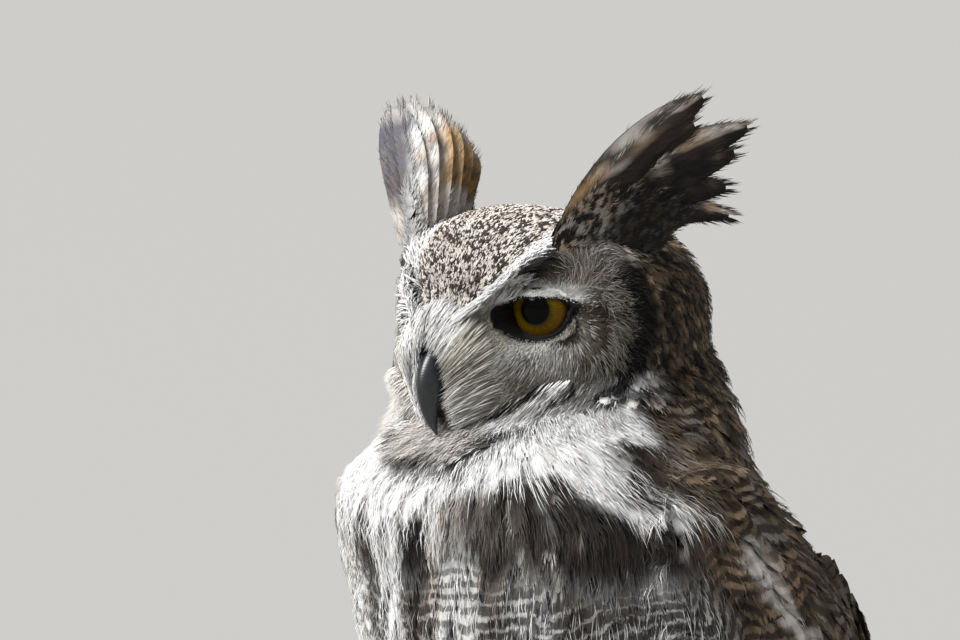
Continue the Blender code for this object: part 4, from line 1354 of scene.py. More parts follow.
def bristles(skin, material):
    """Bristles over the sides of the bill, and the white feathers of the brow above them."""

    def lores(local, share):
        n = len(local)
        shade = 0.6 + 0.5 * rng.random((n, 1))
        z = local[:, -1, 2]
        far_side = local[:, -1, 0] < 0
        over_root = ease(0.36, 0.22, share + rng.normal(0, 0.03, n))
        tip = mix(mix(LORE_OLIVE, CHIN_PALE, ease(-20, -34, z)), WHITE, over_root * 0.95) * shade
        tip = mix(tip, WHITE, np.maximum(far_side * 0.6, ease(-30, -40, z) * 0.6))
        dark = (rng.random(n) < 0.14) * (1 - over_root) * ~far_side * (z > -32)
        tip = mix(tip, BLACK_BROWN, dark)
        base = mix(mix(LORE_OLIVE, PALE_GREY, 0.3) * shade, WHITE, over_root * 0.8 + far_side * 0.2)
        return np.stack((base * 0.6, base, (base + tip) / 2, tip), 1)

    def white_fluff(local, *_):
        n = len(local)
        shade = 0.82 + 0.25 * rng.random((n, 1))
        grey = (rng.random(n) < 0.12) * 0.6
        tone = mix(np.broadcast_to(WHITE, (n, 3)), GREY, grey) * shade
        return np.stack((tone * 0.7, tone, tone, tone), 1)

    coat = Coat()
    for place, sweep in SWEEPS.items():
        swept(coat, skin, lores if place == "lores" else white_fluff, *sweep)
    return coat.pieces("coat_bristles", material, "plumage_white")


def crown_coat(skin, material):
    """Short scale-like feathers of forehead and crown, each dark or pale, and longer at the brow."""
    h = to_head(skin.middles)
    on_head = skin.node_of == "head"
    weight = (on_head & (above_brow(h) > -0.8) & (h[:, 1] > -34) & (h[:, 2] > -14)).astype(float)
    weight *= eye_clearance(skin.middles) > 1.0
    coat = Coat()
    roots, normals = skin.scatter(weight, 21000)
    hr = to_head(roots)
    n = len(roots)
    height = above_brow(hr)
    brow = ease(4.5, 0, np.abs(height)) * ease(8, 20, hr[:, 1])
    ways = laid(head_flow(roots) + rng.normal(0, 0.16, roots.shape), normals)
    size = ease(60, 0, hr[:, 1])
    length = (2.4 + 2.0 * size + 4.5 * brow) * (0.8 + 0.4 * rng.random(n))
    width = (0.66 + 0.3 * size - 0.25 * brow) * (0.8 + 0.4 * rng.random(n))
    lift = 0.4 + 0.9 * rng.random(n) + 3.0 * brow * rng.random(n)
    beside = between(-1, 6.5, height, 2.5) * ease(15, 25, np.abs(hr[:, 0]))
    specks = 0.62 * mottle(roots, 1.2, 3) + 0.38 * rng.random(n) + 0.10 * (mottle(roots, 6, 9) - 0.5)
    dark = ease(0.485, 0.52, specks) * (1 - 0.85 * beside) * (1 - brow)
    tone = mix(head_colour(roots, 0.0) * (0.8 + 0.4 * rng.random((n, 1))), UMBER, dark)
    hairs(coat, skin, roots, normals, ways, length, width, lift, tone * 0.6, tone * 1.08)
    return coat.pieces("coat_crown", material, "plumage_grey")


def side_coat(skin, material):
    """Small soft feathers behind the discs and down the nape."""
    h = to_head(skin.middles)
    on_head = skin.node_of == "head"
    covered = (disc_edge(h) < 1.35) & (h[:, 1] > -14)
    crown = (above_brow(h) > 2) & (h[:, 1] > -26)
    chin = (h[:, 2] < -30) & (h[:, 1] > 4)
    roots, _ = skin.rows((on_head & ~covered & ~crown & ~chin).astype(float), lambda p: np.full(len(p), 3.4))
    n = len(roots)
    seed = rng.random(n)

    def paint(s, v, who, place):
        tone = head_colour(place) * (0.62 + 0.3 * s + 0.25 * seed[who])[..., None]
        return tone, np.zeros(tone.shape)

    coat = Coat()
    feathers(
        coat, skin, roots, head_flow(roots), 11 + 3 * rng.random(n), np.full(n, 3.2), np.full(n, 4.0),
        paint, rows=5, columns=3, fringe=4, over=2, loose=2.6, barb_width=0.42
    )
    return coat.pieces("coat_nape", material, "plumage_grey")


def contour_paint(roots, pale_tips):
    """Tints and bars of the body's feathers: their ground, dark shafts and paler rims."""
    n = len(roots)
    seed, sway = rng.random(n), rng.normal(0, 0.9, n)
    white = ease(0.35, 0.6, body_marks(roots)[0].min(1))

    def paint(s, v, who, place):
        ground, mark = body_marks(place)
        rim = ease(0.5, 1.0, np.abs(v) + 0.5 * ease(0.75, 1.05, s)) * pale_tips
        tone = mix(ground, PALE_GREY, rim * 0.14 * (ground.mean(-1) < 0.3))
        shaft = ease(0.30, 0.05, np.abs(v)) * (1 - white[who]) * 0.35
        shade = 1 - (0.34 - 0.26 * white[who]) * ease(0.7, 0.1, s)
        shade = shade * (0.92 + 0.14 * seed[who]) * (1 - shaft)
        bow = sway[who] - 1.3 * v**2
        mark = np.stack((mark[..., 0] + bow, mark[..., 1], mark[..., 2]), -1)
        return tone * shade[..., None], mark

    return paint


# The feathers' spacing by height, and how thickly loose ends grow among those of the breast.
BREAST_SPACING = ((100, 8.6), (230, 8.4), (290, 7.2), (330, 5.6), (360, 4.6))
BACK_SPACING = ((20, 6.5), (120, 8.0), (230, 8.6), (300, 7.4), (350, 5.4))
LOOSE_ENDS = ((150, 0.1), (230, 0.15), (285, 0.3), (300, 1.0), (325, 1.2), (345, 0.7))


def breast_coat(skin, material):
    """Soft contour feathers of throat, neck, breast and belly, with hair-like rims."""
    turn = np.abs(body_turn(skin.middles))
    body = np.isin(skin.node_of, ("neck", "trunk"))

    def spacing(p):
        crease = between(76, 100, np.abs(p[:, 0]), 4) * between(-12, 10, p[:, 1], 3)
        crease = crease * between(215, 300, p[:, 2], 6)
        return track(BREAST_SPACING, p[:, 2]) * (1 - 0.42 * crease)

    roots, _ = skin.rows((body & (turn < 98)).astype(float), spacing)
    n = len(roots)
    size = track(BREAST_SPACING, roots[:, 2])
    close = 1 - 0.75 * between(320, 352, roots[:, 2], 6) * ease(40, 10, body_turn(roots))
    coat = Coat()
    feathers(
        coat, skin, roots, body_flow(roots) + rng.normal(0, 0.13, roots.shape),
        size * (2.7 + 0.6 * rng.random(n)), size * 0.8,
        coat_depth(roots) * (0.7 + 0.35 * rng.random(n)) * close, contour_paint(roots, 0.2),
        flow=body_flow, shape=downy, fringe=13, over=6, loose=6.5, barb_width=0.34, splay=22
    )
    # Long loose hair-like ends over the rim of the bib and down the breast.
    share = track(LOOSE_ENDS, skin.middles[:, 2])
    loose, normals = skin.scatter((body & (turn < 98)) * share, 6500)
    count = len(loose)
    ways = laid(body_flow(loose) + rng.normal(0, 0.12, loose.shape), normals)
    depth = coat_depth(loose) * (1 - 0.5 * between(320, 352, loose[:, 2], 6) * ease(40, 10, body_turn(loose)))
    ground = body_marks(loose)[0]
    edge = ease(5, 0, np.abs(loose[:, 2] - bib_floor(loose) - 3))
    tone = mix(ground, WHITE, edge * 0.6)
    reach = (7 + 9 * rng.random(count)) * track(((220, 1.0), (320, 1.0), (345, 0.6)), loose[:, 2])
    start = loose + normals * depth[:, None] * 0.65
    width, lift = 0.24 + 0.16 * rng.random(count), depth * (0.75 + 0.5 * rng.random(count))
    hairs(coat, skin, start, normals, ways, reach, width, lift, tone * 0.88, tone, curl=0.0)
    return coat.pieces("coat_breast", material, "plumage_grey")


def back_coat(skin, material):
    """Contour feathers of the back, the shoulders and the upper wing."""
    middles = skin.middles
    turn = np.abs(body_turn(middles))
    body = np.isin(skin.node_of, ("neck", "trunk")) & (turn >= 94)
    wing = np.char.startswith(skin.node_of.astype(str), "wing") & (middles[:, 2] > 196)
    roots, _ = skin.rows((body | wing).astype(float), lambda p: track(BACK_SPACING, p[:, 2]))
    n = len(roots)
    size = track(BACK_SPACING, roots[:, 2])
    coat = Coat()
    feathers(
        coat, skin, roots, body_flow(roots) + rng.normal(0, 0.06, roots.shape),
        size * (2.9 + 0.5 * rng.random(n)), size * 0.9, coat_depth(roots) * (0.8 + 0.2 * rng.random(n)),
        contour_paint(roots, 0.5), flow=body_flow, fringe=5, over=1, loose=4.0, barb_width=0.45
    )
    return coat.pieces("coat_back", material, "plumage_dark")


def leg_coat(skin, material):
    """Short buff-white feathers from thigh to toes, under a skirt of the belly's longest ones."""
    weight = np.zeros(len(skin.middles))
    for prefix, share in (("thigh", 1.0), ("shank", 1.7), ("foot", 1.7), ("toe", 2.2)):
        weight[np.char.startswith(skin.node_of.astype(str), prefix)] = share
    weight *= skin.middles[:, 2] > 1.5
    coat = Coat()
    roots, normals = skin.scatter(weight, 12000)
    n, z = len(roots), roots[:, 2]
    foot = ease(34, 14, z)
    side = np.sign(roots[:, 0])
    toward = np.stack((roots[:, 0] - side * FOOT_ACROSS, roots[:, 1] - FOOT_BACK, np.zeros(n)), 1)
    ways = unit(toward) * foot[:, None] - UP * (1 - foot[:, None])
    ways = laid(ways + rng.normal(0, 0.15, roots.shape), normals)
    length = track(((0, 3.0), (20, 3.5), (40, 7.0), (75, 12.0), (150, 16.0)), z) * (0.8 + 0.4 * rng.random(n))
    width = track(((0, 0.6), (20, 0.7), (60, 0.85), (120, 0.95)), z)
    lift = coat_depth(roots) * (0.4 + 0.6 * rng.random(n))
    speck = ease(0.6, 0.75, mottle(roots, 5, 51))
    tone = mix(mix(WHITE, BUFF, 0.45 * rng.random(n) + 0.15), GREY_BROWN, speck * 0.5)
    hairs(coat, skin, roots, normals, ways, length, width, lift, tone * 0.7, tone)
    # The skirt, and the trousers below it.
    middles = skin.middles
    low = np.isin(skin.node_of, ("trunk", "thigh_left", "thigh_right"))
    low = low & (middles[:, 2] < 150) & (middles[:, 2] > 62)
    roots, normals = skin.scatter(low * track(((62, 0.5), (100, 1.0), (150, 0.8)), middles[:, 2]), 4000)
    n = len(roots)
    ways = laid(row(0, 0.12, -1.0) + rng.normal(0, 0.1, roots.shape), normals)
    start = roots + normals * coat_depth(roots)[:, None] * 0.4
    length = (16 + 12 * rng.random(n)) * track(((62, 0.55), (95, 0.9), (120, 1.0)), roots[:, 2])
    t = np.linspace(0, 1, 5)[None, :, None]
    fall = ways[:, None] * (1 - 0.6 * t) - UP * 0.6 * t
    swell = normals[:, None] * (5.5 * np.sin(math.pi * np.minimum(t * 0.75 + 0.12, 1)))
    path = start[:, None] + unit(fall) * length[:, None, None] * t + swell
    ground = mix(mix(WHITE, BUFF, 0.4 * rng.random(n)), GREY_BROWN, (rng.random(n) < 0.15) * 0.5)
    tints = np.repeat(ground[:, None], 5, 1) * row(0.6, 0.8, 0.95, 1.0, 1.0)[None, :, None]
    phase = 2 * math.pi * path[..., 2] / 5.6 + 6 * (mottle(path, 14, 53) - 0.5)
    bars = 0.75 * ease(84, 100, path[..., 2])
    marks = np.stack((phase, bars, np.full(phase.shape, -0.15)), -1)
    widths = np.tile((1.0, 0.9, 0.6), (n, 1)) * (0.8 + 0.4 * rng.random((n, 1)))
    coat.strands(path, normals[:, None], widths, tints, unwrapped(roots), marks)
    return coat.pieces("coat_legs", material, "plumage_white")


# Ear tufts ------------

# Root and tip of each long feather in the head's axes, its half width, and how pale its front is: partly its
# own buff edge, and partly painted light on the feathers that are lit.
TUFT_FEATHERS = {
    "left": (
        ((35, 33, 18), (62, -24, 82), 9.0, 1.0), ((37, 24, 23), (60, -22, 71), 9.0, 0.2),
        ((39, 15, 25), (72, -41, 70), 8.0, 1.0), ((42, 6, 24), (69, -37, 60), 8.5, 0.15),
        ((44, -1, 22), (66, -36, 46), 6.5, 0.1), ((45, -6, 20), (67, -37, 35), 5.5, 1.0)
    ),
    "right": (
        ((-37, 35, 18), (-64, 16, 76), 10.0, 1.0), ((-38, 29, 22), (-61, 11, 78), 10.5, 1.0),
        ((-39, 22, 24), (-58, 4, 76), 11.0, 1.0), ((-40, 15, 25), (-56, -1, 73), 11.0, 0.6),
        ((-42, 9, 24), (-53, -8, 67), 10.0, 0.4), ((-43, 4, 23), (-51, -13, 60), 9.5, 0.3)
    )
}
# How far the flat side of each tuft is turned forward on its shafts, in degrees.
TUFT_TWIST = {"left": -20, "right": 48}
TUFT_RIDGES = {
    "left": ((34, 38, 20), (39, 18, 29), (46, -10, 22)),
    "right": ((-34, 38, 20), (-39, 18, 29), (-45, -8, 23))
}


def bezier(points, t):
    points = [np.asarray(p, float)[None] for p in points]
    t = np.asarray(t)[:, None]
    while len(points) > 1:
        points = [(1 - t) * a + t * b for a, b in zip(points, points[1:])]
    return points[0]


def tuft_spine(root, tip, t):
    """The curved shaft of a tuft feather: it stands up from its root, then leans to its tip."""
    root, tip = np.array(root, float), np.array(tip, float)
    bend = root + UP * 20 + (tip - root) * 0.2
    return from_head(bezier((root, bend, tip), t))


def tuft_outline(s):
    """Half width of a tuft feather as a share: narrow at its root, broad past its middle, round."""
    t = np.clip(s, 0, 1)
    end = np.sqrt(1 - np.clip((t - 0.55) / 0.46, 0, 1) ** 2.0)
    return np.clip((0.45 + 1.2 * t - 0.65 * t**2) * end, 0.08, 1.3)


def outer_web(s, v, place, blade):
    """The outer face of a tuft: dark webs, and a pale front edge with an ochre patch. The pale front is
    partly the feathers' own buff edge and partly painted light, and the dark hind part partly painted shade.
    """
    speck, patch = mottle(place, 2.4, 61), mottle(place, 5.0, 63)
    dark = mix(BLACK_BROWN, UMBER, ease(0.35, 0.75, patch) * 0.9)
    edge = mix(WHITE, BUFF, 0.35 + 0.6 * ease(0.35, 0.65, patch))
    edge = mix(edge, mix(OCHRE, BUFF, 0.5), between(0.24, 0.46, s, 0.05) * ease(0.2, 0.5, v) * blade["first"])
    edge = mix(edge, BLACK_BROWN, ease(0.50, 0.58, speck) * 0.9)
    # Painted light and shade: the front half is paled where the feather is lit, besides its own buff edge.
    lit = ease(-0.1, 0.15, v - 0.1 * s + 0.5 * (patch - 0.5)) * blade["pale"] * ease(1.1, 0.95, s)
    tone = mix(dark, edge, lit)
    spots = between(-0.45, 0.15, v, 0.1) * between(0.15, 0.6, s, 0.06) * ease(0.58, 0.66, speck)
    tone = mix(tone, PALE_GREY, spots * 0.8)
    base = ease(0.30, 0.14, s)
    return mix(tone, mix(mix(PALE_GREY, BUFF, patch), BLACK_BROWN, ease(0.42, 0.55, speck)), base)


def inner_web(s, v, place, blade):
    """The inner face of a tuft: smooth grey in front, cream and tawny behind, mottled below."""
    patch, speck = mottle(place, 6.0, 65), mottle(place, 2.6, 67)
    at = blade["fan"](place) + 0.22 * (patch - 0.5)
    cream = mix(WHITE, BUFF, ease(0.4, 0.75, patch) * 0.6)
    tawny = mix(TAWNY, BUFF, ease(0.35, 0.7, patch) * 0.7)
    tone = mix(cream, tawny, ease(0.42, 0.68, at) * between(0.34, 0.86, s, 0.08))
    smoke = mix(SMOKE_GREY, PALE_GREY, ease(0.6, 0.85, patch) * 0.4)
    tone = mix(tone, smoke, ease(0.34, 0.20, at) * ease(0.16, 0.3, s))
    tone = mix(tone, GREY_BROWN, ease(0.56, 0.68, speck) * between(0.3, 0.72, s, 0.08) * 0.7)
    tone = mix(tone, UMBER, ease(0.86, 1.0, at) * ease(0.1, -0.5, v) * between(0.15, 0.6, s, 0.1) * 0.8)
    tone = mix(tone, GREY_BROWN, ease(0.78, 0.9, s) * ease(0.5, 0.7, at) * 0.5)
    tone = mix(tone, PALE_GREY, ease(0.86, 0.95, s) * 0.8)
    base = ease(0.42, 0.22, s)
    return mix(tone, mix(mix(WHITE, BUFF, 0.3), ROSY, ease(0.55, 0.68, speck) * 0.5), base)


def ear_tufts(material):
    """Long feathers over the brows, with an outer and an inner face, on a foot of short ones."""
    for side_name, side in SIDES.items():
        coat = Coat()
        blades = TUFT_FEATHERS[side_name]
        t = np.linspace(0, 1, 14)
        twist = math.radians(TUFT_TWIST[side_name])
        aside = head_way(np.array((side * math.cos(twist), -math.sin(twist), 0.0)))
        fore = head_way(row(0.0, 1.0, 0.0))
        breadth = np.array((-side * math.sin(twist), -math.cos(twist), 0.0))
        rims = [to_head(tuft_spine(*blades[i][:2], t)) for i in (0, -1)]

        def fan(place):
            """The share across the tuft, from its front feather to its hind one."""
            h = to_head(place)
            front_rim, hind_rim = (np.interp(h[..., 2], rim[:, 2], rim @ breadth) for rim in rims)
            return (h @ breadth - front_rim + 7) / (hind_rim - front_rim + 14)

        for rank, (root, tip, half_width, pale) in enumerate(blades):
            path = tuft_spine(root, tip, t)
            heading = unit(np.gradient(path, axis=0))
            outer = unit(aside - heading * (heading @ aside)[:, None])
            path = path + outer * (0.8 if side > 0 else -0.2) * (2.5 - rank)
            home = unwrapped(path[:1])
            length = path_lengths(path)[None]
            for face, web in ((1.0, outer_web), (-1.0, inner_web)):
                normals = outer * face
                front = fore * math.cos(twist) + head_way(row(side * math.sin(twist), 0, 0))
                lead = 1.0 if np.cross(heading[6], normals[6]) @ front > 0 else -1.0
                blade = {"fan": fan, "first": float(rank == 0), "pale": pale}

                def paint(s, v, who, place):
                    tone = web(s, lead * v / np.maximum(tuft_outline(s), 0.3), place, blade)
                    return tone * (0.9 + 0.2 * mottle(place, 1.2, 69))[..., None], np.zeros(tone.shape)

                grow(
                    coat, (path + normals * 0.35)[None], normals[None], heading[None], length,
                    np.array([half_width]), home, paint, shape=tuft_outline, rows=14, columns=7,
                    camber=(0.2 if side > 0 else 0.05) * face, thickness=0.3, fringe=70, over=120,
                    loose=4.5, barb_width=0.3, first=0.04, splay=30, vary=0.3
                )
        foot_of_tuft(coat, side_name, blades, fan)
        for piece in coat.pieces(f"tuft_{side_name}", material, "plumage_buff"):
            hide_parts(f"ear_tuft_{side_name}")


def foot_of_tuft(coat, side_name, blades, fan):
    """Short overlapping feathers that cover the roots of the long ones, inside and out."""
    side = SIDES[side_name]
    n = 340
    place = rng.random(n)
    out = np.where(rng.random(n) < 0.5, 1.0, -1.0)
    ridge = bezier(TUFT_RIDGES[side_name], place)
    rank = np.clip(place * (len(blades) - 1), 0, len(blades) - 1.001)
    i, t = rank.astype(int), (rank % 1)[:, None]
    tips = np.array([b[1] for b in blades], float)
    tips = tips[i] * (1 - t) + tips[i + 1] * t
    up_share = rng.random((n, 1)) * 0.42
    bend = ridge + UP * 18
    start = ridge + (bend - ridge) * up_share * 2 + (tips - bend) * up_share**2
    way = unit(tips - start + UP * 26 * (1 - 1.6 * up_share))
    twist = math.radians(TUFT_TWIST[side_name])
    flank = np.array((side * math.cos(twist), -math.sin(twist), 0.0))
    start = start + flank * out[:, None] * (2.4 - 2.6 * up_share) - UP * 5
    length = 12 + 5 * rng.random(n)
    stations = np.linspace(0, 1, 5)[None, :, None]
    aside = flank * out[:, None]
    flare = aside[:, None] * (1.2 * np.sin(math.pi * stations * 0.8))
    local = start[:, None] + way[:, None] * length[:, None, None] * stations + flare
    path = from_head(local)
    heading = unit(np.gradient(path, axis=1))
    normal = head_way(aside)[:, None] * np.ones((1, 5, 1))
    normals = unit(normal - heading * (normal * heading).sum(-1, keepdims=True))
    seed = rng.random(n)

    def paint(s, v, who, place):
        speck, patch = mottle(place * (1, 1, 0.6), 1.2, 71), mottle(place, 5.0, 73)
        # Painted shade: outside, the feathers towards the hind end of the tuft are darkened towards black
        # brown.
        far = ease(0.16, 0.42, rank[who] / len(blades) + 0.3 * (patch - 0.5))
        outer = mix(mix(PALE_GREY, BUFF, ease(0.3, 0.7, patch) * 0.8), BLACK_BROWN, far * 0.9)
        outer = mix(outer, BLACK_BROWN, ease(0.44 - 0.1 * far, 0.54 - 0.1 * far, speck))
        at = fan(place)
        inner = mix(mix(WHITE, BUFF, 0.4 * patch), TAWNY, ease(0.4, 0.65, at + 0.4 * (patch - 0.5)) * 0.7)
        inner = mix(inner, SMOKE_GREY, ease(0.36, 0.2, at) * 0.7)
        inner = mix(inner, UMBER, ease(0.56, 0.66, speck) * ease(0.3, 0.6, at) * 0.8)
        tone = mix(inner, outer, (out[who] > 0) * 1.0) * (0.85 + 0.25 * seed[who])[..., None]
        return tone, np.zeros(tone.shape)

    grow(
        coat, path, normals, heading, length, 2.2 + 1.0 * rng.random(n), unwrapped(path[:, 0]), paint,
        shape=downy, rows=5, columns=3, fringe=8, over=5, loose=3.5, barb_width=0.36, thickness=0.25
    )


# Flight feathers and tail ------------

# What the vanes of wing and tail share.
FLIGHT = {"shape": long_vane, "rows": 22, "columns": 7, "over": 30, "barb_width": 0.55, "first": 0.05}


def flight_paint(seed, pitch, ground_a, ground_b):
    """Broad dark bars across buff and grey webs, dusted with brown."""

    def paint(s, v, who, place):
        dust = mottle(place, 3.0, 81)
        tone = mix(ground_a, ground_b, ease(-0.4, 0.5, v) * 0.7)
        tone = mix(tone, UMBER, ease(0.5, 0.75, dust) * 0.45)
        tone = mix(tone, UMBER, ease(0.08, 0.02, np.abs(v)) * 0.8)
        phase = 2 * math.pi * s * pitch + seed[who] + 0.9 * np.abs(v)
        mark = np.stack((phase, np.full(s.shape, 0.82), 0.1 + 0.5 * (dust - 0.5)), -1)
        return tone, mark

    return paint


# Where the wings' outer side is, by height: how far back its axis is, its half width, and its depth.
SLEEVE = (
    ((322, 9), (300, 13), (268, 22), (230, 34), (190, 52), (150, 76), (110, 104), (70, 134), (26, 168)),
    ((322, 83), (300, 93), (268, 101), (230, 103), (190, 96), (150, 80), (110, 62), (70, 46), (26, 30)),
    ((322, 82), (300, 90), (268, 103), (230, 108), (190, 98), (150, 81), (110, 63), (70, 48), (26, 35))
)


def sleeve_points(side, z, degrees):
    """Places on the outer side of the folded wing: 0 degrees is its side, 90 its back."""
    turn = np.radians(degrees)
    axis, half, back = (track(rows, z) for rows in SLEEVE)
    return np.stack((side * half * np.cos(turn), axis + back * np.sin(turn), z), -1)


# Rows of the folded wing: count, heights and bearings of first and last root, the same of their
# tips, half widths, and how high over the skin they lie.
WING_ROWS = (
    ("primaries", 9, (196, 6), (176, 36), (92, 26), (27, 70), (9.5, 8.5), (0.4, 1.6)),
    ("secondaries", 10, (214, -9), (236, 74), (122, 14), (120, 79), (12.5, 12.5), (1.6, 2.8)),
    ("greater_coverts", 11, (240, -11), (262, 74), (176, -1), (186, 76), (11, 11), (2.8, 4.4))
)


def wing_feathers(skin, material):
    for side_name, side in SIDES.items():
        for name, count, root_a, root_b, tip_a, tip_b, widths, heights in WING_ROWS:
            coat = Coat()
            share = np.linspace(0, 1, count)[:, None]
            stations = 16
            t = np.linspace(0, 1, stations)[None]
            root = np.array(root_a) * (1 - share) + np.array(root_b) * share
            tip = np.array(tip_a) * (1 - share) + np.array(tip_b) * share
            z = root[:, :1] * (1 - t) + tip[:, :1] * t
            degrees = root[:, 1:] * (1 - t) + tip[:, 1:] * t
            places, normals = skin.nearest(sleeve_points(side, z, degrees).reshape(-1, 3))
            places, normals = places.reshape(count, stations, 3), normals.reshape(count, stations, 3)
            turn = np.radians(degrees)
            outside = unit(np.stack((side * np.cos(turn), np.sin(turn), 0 * z), -1))
            normals = np.where(((normals * outside).sum(-1) > 0.2)[..., None], normals, outside)
            lift = heights[0] + (heights[1] - heights[0]) * t + 0.12 * np.arange(count)[:, None]
            path = places + normals * lift[..., None]
            heading = unit(np.gradient(path, axis=1))
            length = path_lengths(path)
            half = widths[0] + (widths[1] - widths[0]) * share[:, 0]
            paint = flight_paint(rng.random(count) * 2, length.mean() / 19, OLIVE_BROWN, BUFF)
            grow(
                coat, path, normals, heading, length, half, unwrapped(path[:, 0]), paint, camber=0.10,
                thickness=0.5, fringe=46, loose=3.2, ridge=0.5, **FLIGHT
            )
            coat.pieces(f"{name}_{side_name}", material, "plumage_dark")


# The tail's root and tip, how far back and how high, and its half widths there.
TAIL_ROOT, TAIL_TIP = (98.0, 182.0), (208.0, 12.0)
TAIL_HALF_WIDTHS, TAIL_ARCH, TAIL_FEATHERS = (24.0, 44.0), 8.0, 12


def tail_feathers(material):
    """Twelve tail feathers in a low arch, the middle pair on top."""
    coat = Coat()
    stations = 14
    t = np.linspace(0, 1, stations)[None, :, None]
    rank = (np.arange(TAIL_FEATHERS) - (TAIL_FEATHERS - 1) / 2) / (TAIL_FEATHERS / 2)
    r = rank[:, None, None]
    start, end = row(0, *TAIL_ROOT), row(0, *TAIL_TIP)
    way = unit(end - start)
    over = row(0, -way[2], way[1])
    end = end - way * 3.0
    wide = TAIL_HALF_WIDTHS[0] * 0.8 + (TAIL_HALF_WIDTHS[1] - 8.5 - TAIL_HALF_WIDTHS[0] * 0.8) * t
    arch = TAIL_ARCH * np.sin(math.pi * t) * 0.5 + 3.0 * (1 - np.abs(r)) - 5.0 * r**2
    path = start + (end - start) * t + row(1.0, 0, 0) * wide * r + over * arch
    path = path - way * 6.0 * r**2 * t
    heading = unit(np.gradient(path, axis=1))
    tilt = over + row(0.35, 0, 0) * r * np.ones_like(t)
    normals = unit(tilt - heading * (tilt * heading).sum(-1, keepdims=True))
    length = path_lengths(path)
    paint = flight_paint(rng.random(TAIL_FEATHERS), length.mean() / 22, GREY_BROWN, BUFF)
    grow(
        coat, path, normals, heading, length, np.full(TAIL_FEATHERS, 10.5), unwrapped(path[:, 0]), paint,
        camber=0.08, thickness=0.6, fringe=50, loose=3.0, ridge=0.6, **FLIGHT
    )
    for piece in coat.pieces("tail_feathers", material, "plumage_dark"):
        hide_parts("tail")


# Eyes, bill and talons ------------


def grid_triangles(rows, columns):
    """Triangles of a closed form: rings of `columns` points in `rows` rows, then two poles."""
    tris = []
    for r in range(rows - 1):
        for c in range(columns):
            d = (c + 1) % columns
            a, b = r * columns, (r + 1) * columns
            tris += [(a + c, b + c, b + d), (a + c, b + d, a + d)]
    first, last = rows * columns, rows * columns + 1
    for c in range(columns):
        d = (c + 1) % columns
        tris += [(first, c, d), (last, (rows - 1) * columns + d, (rows - 1) * columns + c)]
    return np.array(tris)


def outward(points, triangles):
    """The same triangles, turned so that the closed form's faces look out."""
    a, b, c = points[triangles[:, 0]], points[triangles[:, 1]], points[triangles[:, 2]]
    volume = (a * np.cross(b, c)).sum()
    return triangles if volume > 0 else triangles[:, ::-1]


def make_eye(side_name, material):
    """An eyeball with a domed cornea."""
    centre, out, up, looks = eye_axes(SIDES[side_name])
    rows, columns = 60, 64
    angle = math.pi * (np.arange(1, rows + 1) / (rows + 1)) ** 1.3
    dome_radius, dome_ahead = 12.6, 4.0
    ball = np.full(rows, EYE_RADIUS)
    dome = np.sqrt(np.maximum(dome_radius**2 - (dome_ahead * np.sin(angle)) ** 2, 0))
    dome = dome_ahead * np.cos(angle) + dome
    radius = np.maximum(ball, dome)
    turn = 2 * math.pi * np.arange(columns) / columns
    flat = (radius * np.sin(angle))[:, None]
    local_out, local_up = flat * np.cos(turn), flat * np.sin(turn)
    local_ahead = (radius * np.cos(angle))[:, None] + 0 * turn
    local = np.stack((local_out, local_up, local_ahead), -1).reshape(-1, 3)
    points = centre + local[:, :1] * out + local[:, 1:2] * up + local[:, 2:] * looks
    poles = [centre + looks * (dome_ahead + dome_radius), centre - looks * EYE_RADIUS]
    points = np.concatenate((points, poles))
    # Distance from the middle of the iris, further where the ball is turned away, and the way round it.
    behind = np.where(local_ahead > 0, 0, 20)
    iris = np.stack((flat + behind, np.cos(turn) + 0 * flat, np.sin(turn) + 0 * flat), -1)
    iris = np.concatenate((iris.reshape(-1, 3), [(0, 0, 0), (20, 0, 0)]))
    triangles = outward(points - centre, grid_triangles(rows, columns))
    piece = mesh_piece(f"eyeball_{side_name}", points, triangles, material, "eye", iris=iris)
    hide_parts(f"eye_{side_name}")
    return piece


def bill_form(upper_edge, lower_edge, half_width, keel, rows=40, columns=32):
    """A bill between two edge curves of (ahead, above) points, narrowest along its ridge."""
    t = np.linspace(0, 0.985, rows)
    top, bottom = bezier(upper_edge, t), bezier(lower_edge, t)
    mid, half = (top + bottom) / 2, (top - bottom) / 2
    turn = 2 * math.pi * np.arange(columns) / columns
    rise = np.sin(turn)
    swell = np.cos(turn) * (1 - keel * np.maximum(rise, 0) ** 2)
    side = half_width(t)[:, None] * swell
    ahead = mid[:, :1] + half[:, :1] * rise
    above = mid[:, 1:] + half[:, 1:] * rise
    points = np.stack((side, ahead, above), -1).reshape(-1, 3)
    points = np.concatenate((points, [(0, *mid[0]), (0, *upper_edge[-1])]))
    return points, grid_triangles(rows, columns)


def make_bill(material):
    points, triangles = bill_form(
        ((48, -8), (68, -7), (85, -32), (62, -50)), ((42, -27), (52, -33), (66, -30), (62, -50)),
        lambda t: 9.3 * (1 - t**1.35) ** 0.9 + 0.25, keel=0.25
    )
    world = from_head(points)
    triangles = outward(world - world.mean(0), triangles)
    upper = mesh_piece("bill_hooked_upper", world, triangles, material, "horn")
    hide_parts("bill_upper")
    points, triangles = bill_form(
        ((38, -32), (46, -34), (53, -35), (58, -40)), ((38, -43), (47, -46), (54, -45), (58, -40)),
        lambda t: 7.3 * (1 - t**1.6) ** 0.8 + 0.3, keel=0.0, rows=20, columns=24
    )
    world = from_head(points)
    triangles = outward(world - world.mean(0), triangles)
    lower = mesh_piece("bill_short_lower", world, triangles, material, "horn")
    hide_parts("bill_lower")


PAD_RADIUS, TALON_RADIUS = 15.0, 3.6
# Each toe's bearing outward from straight ahead in degrees, its length, and its talon's reach.
TOES = {"inner": (-27, 37, 24), "middle": (11, 42, 24), "outer": (56, 36, 22), "hind": (176, 25, 26)}


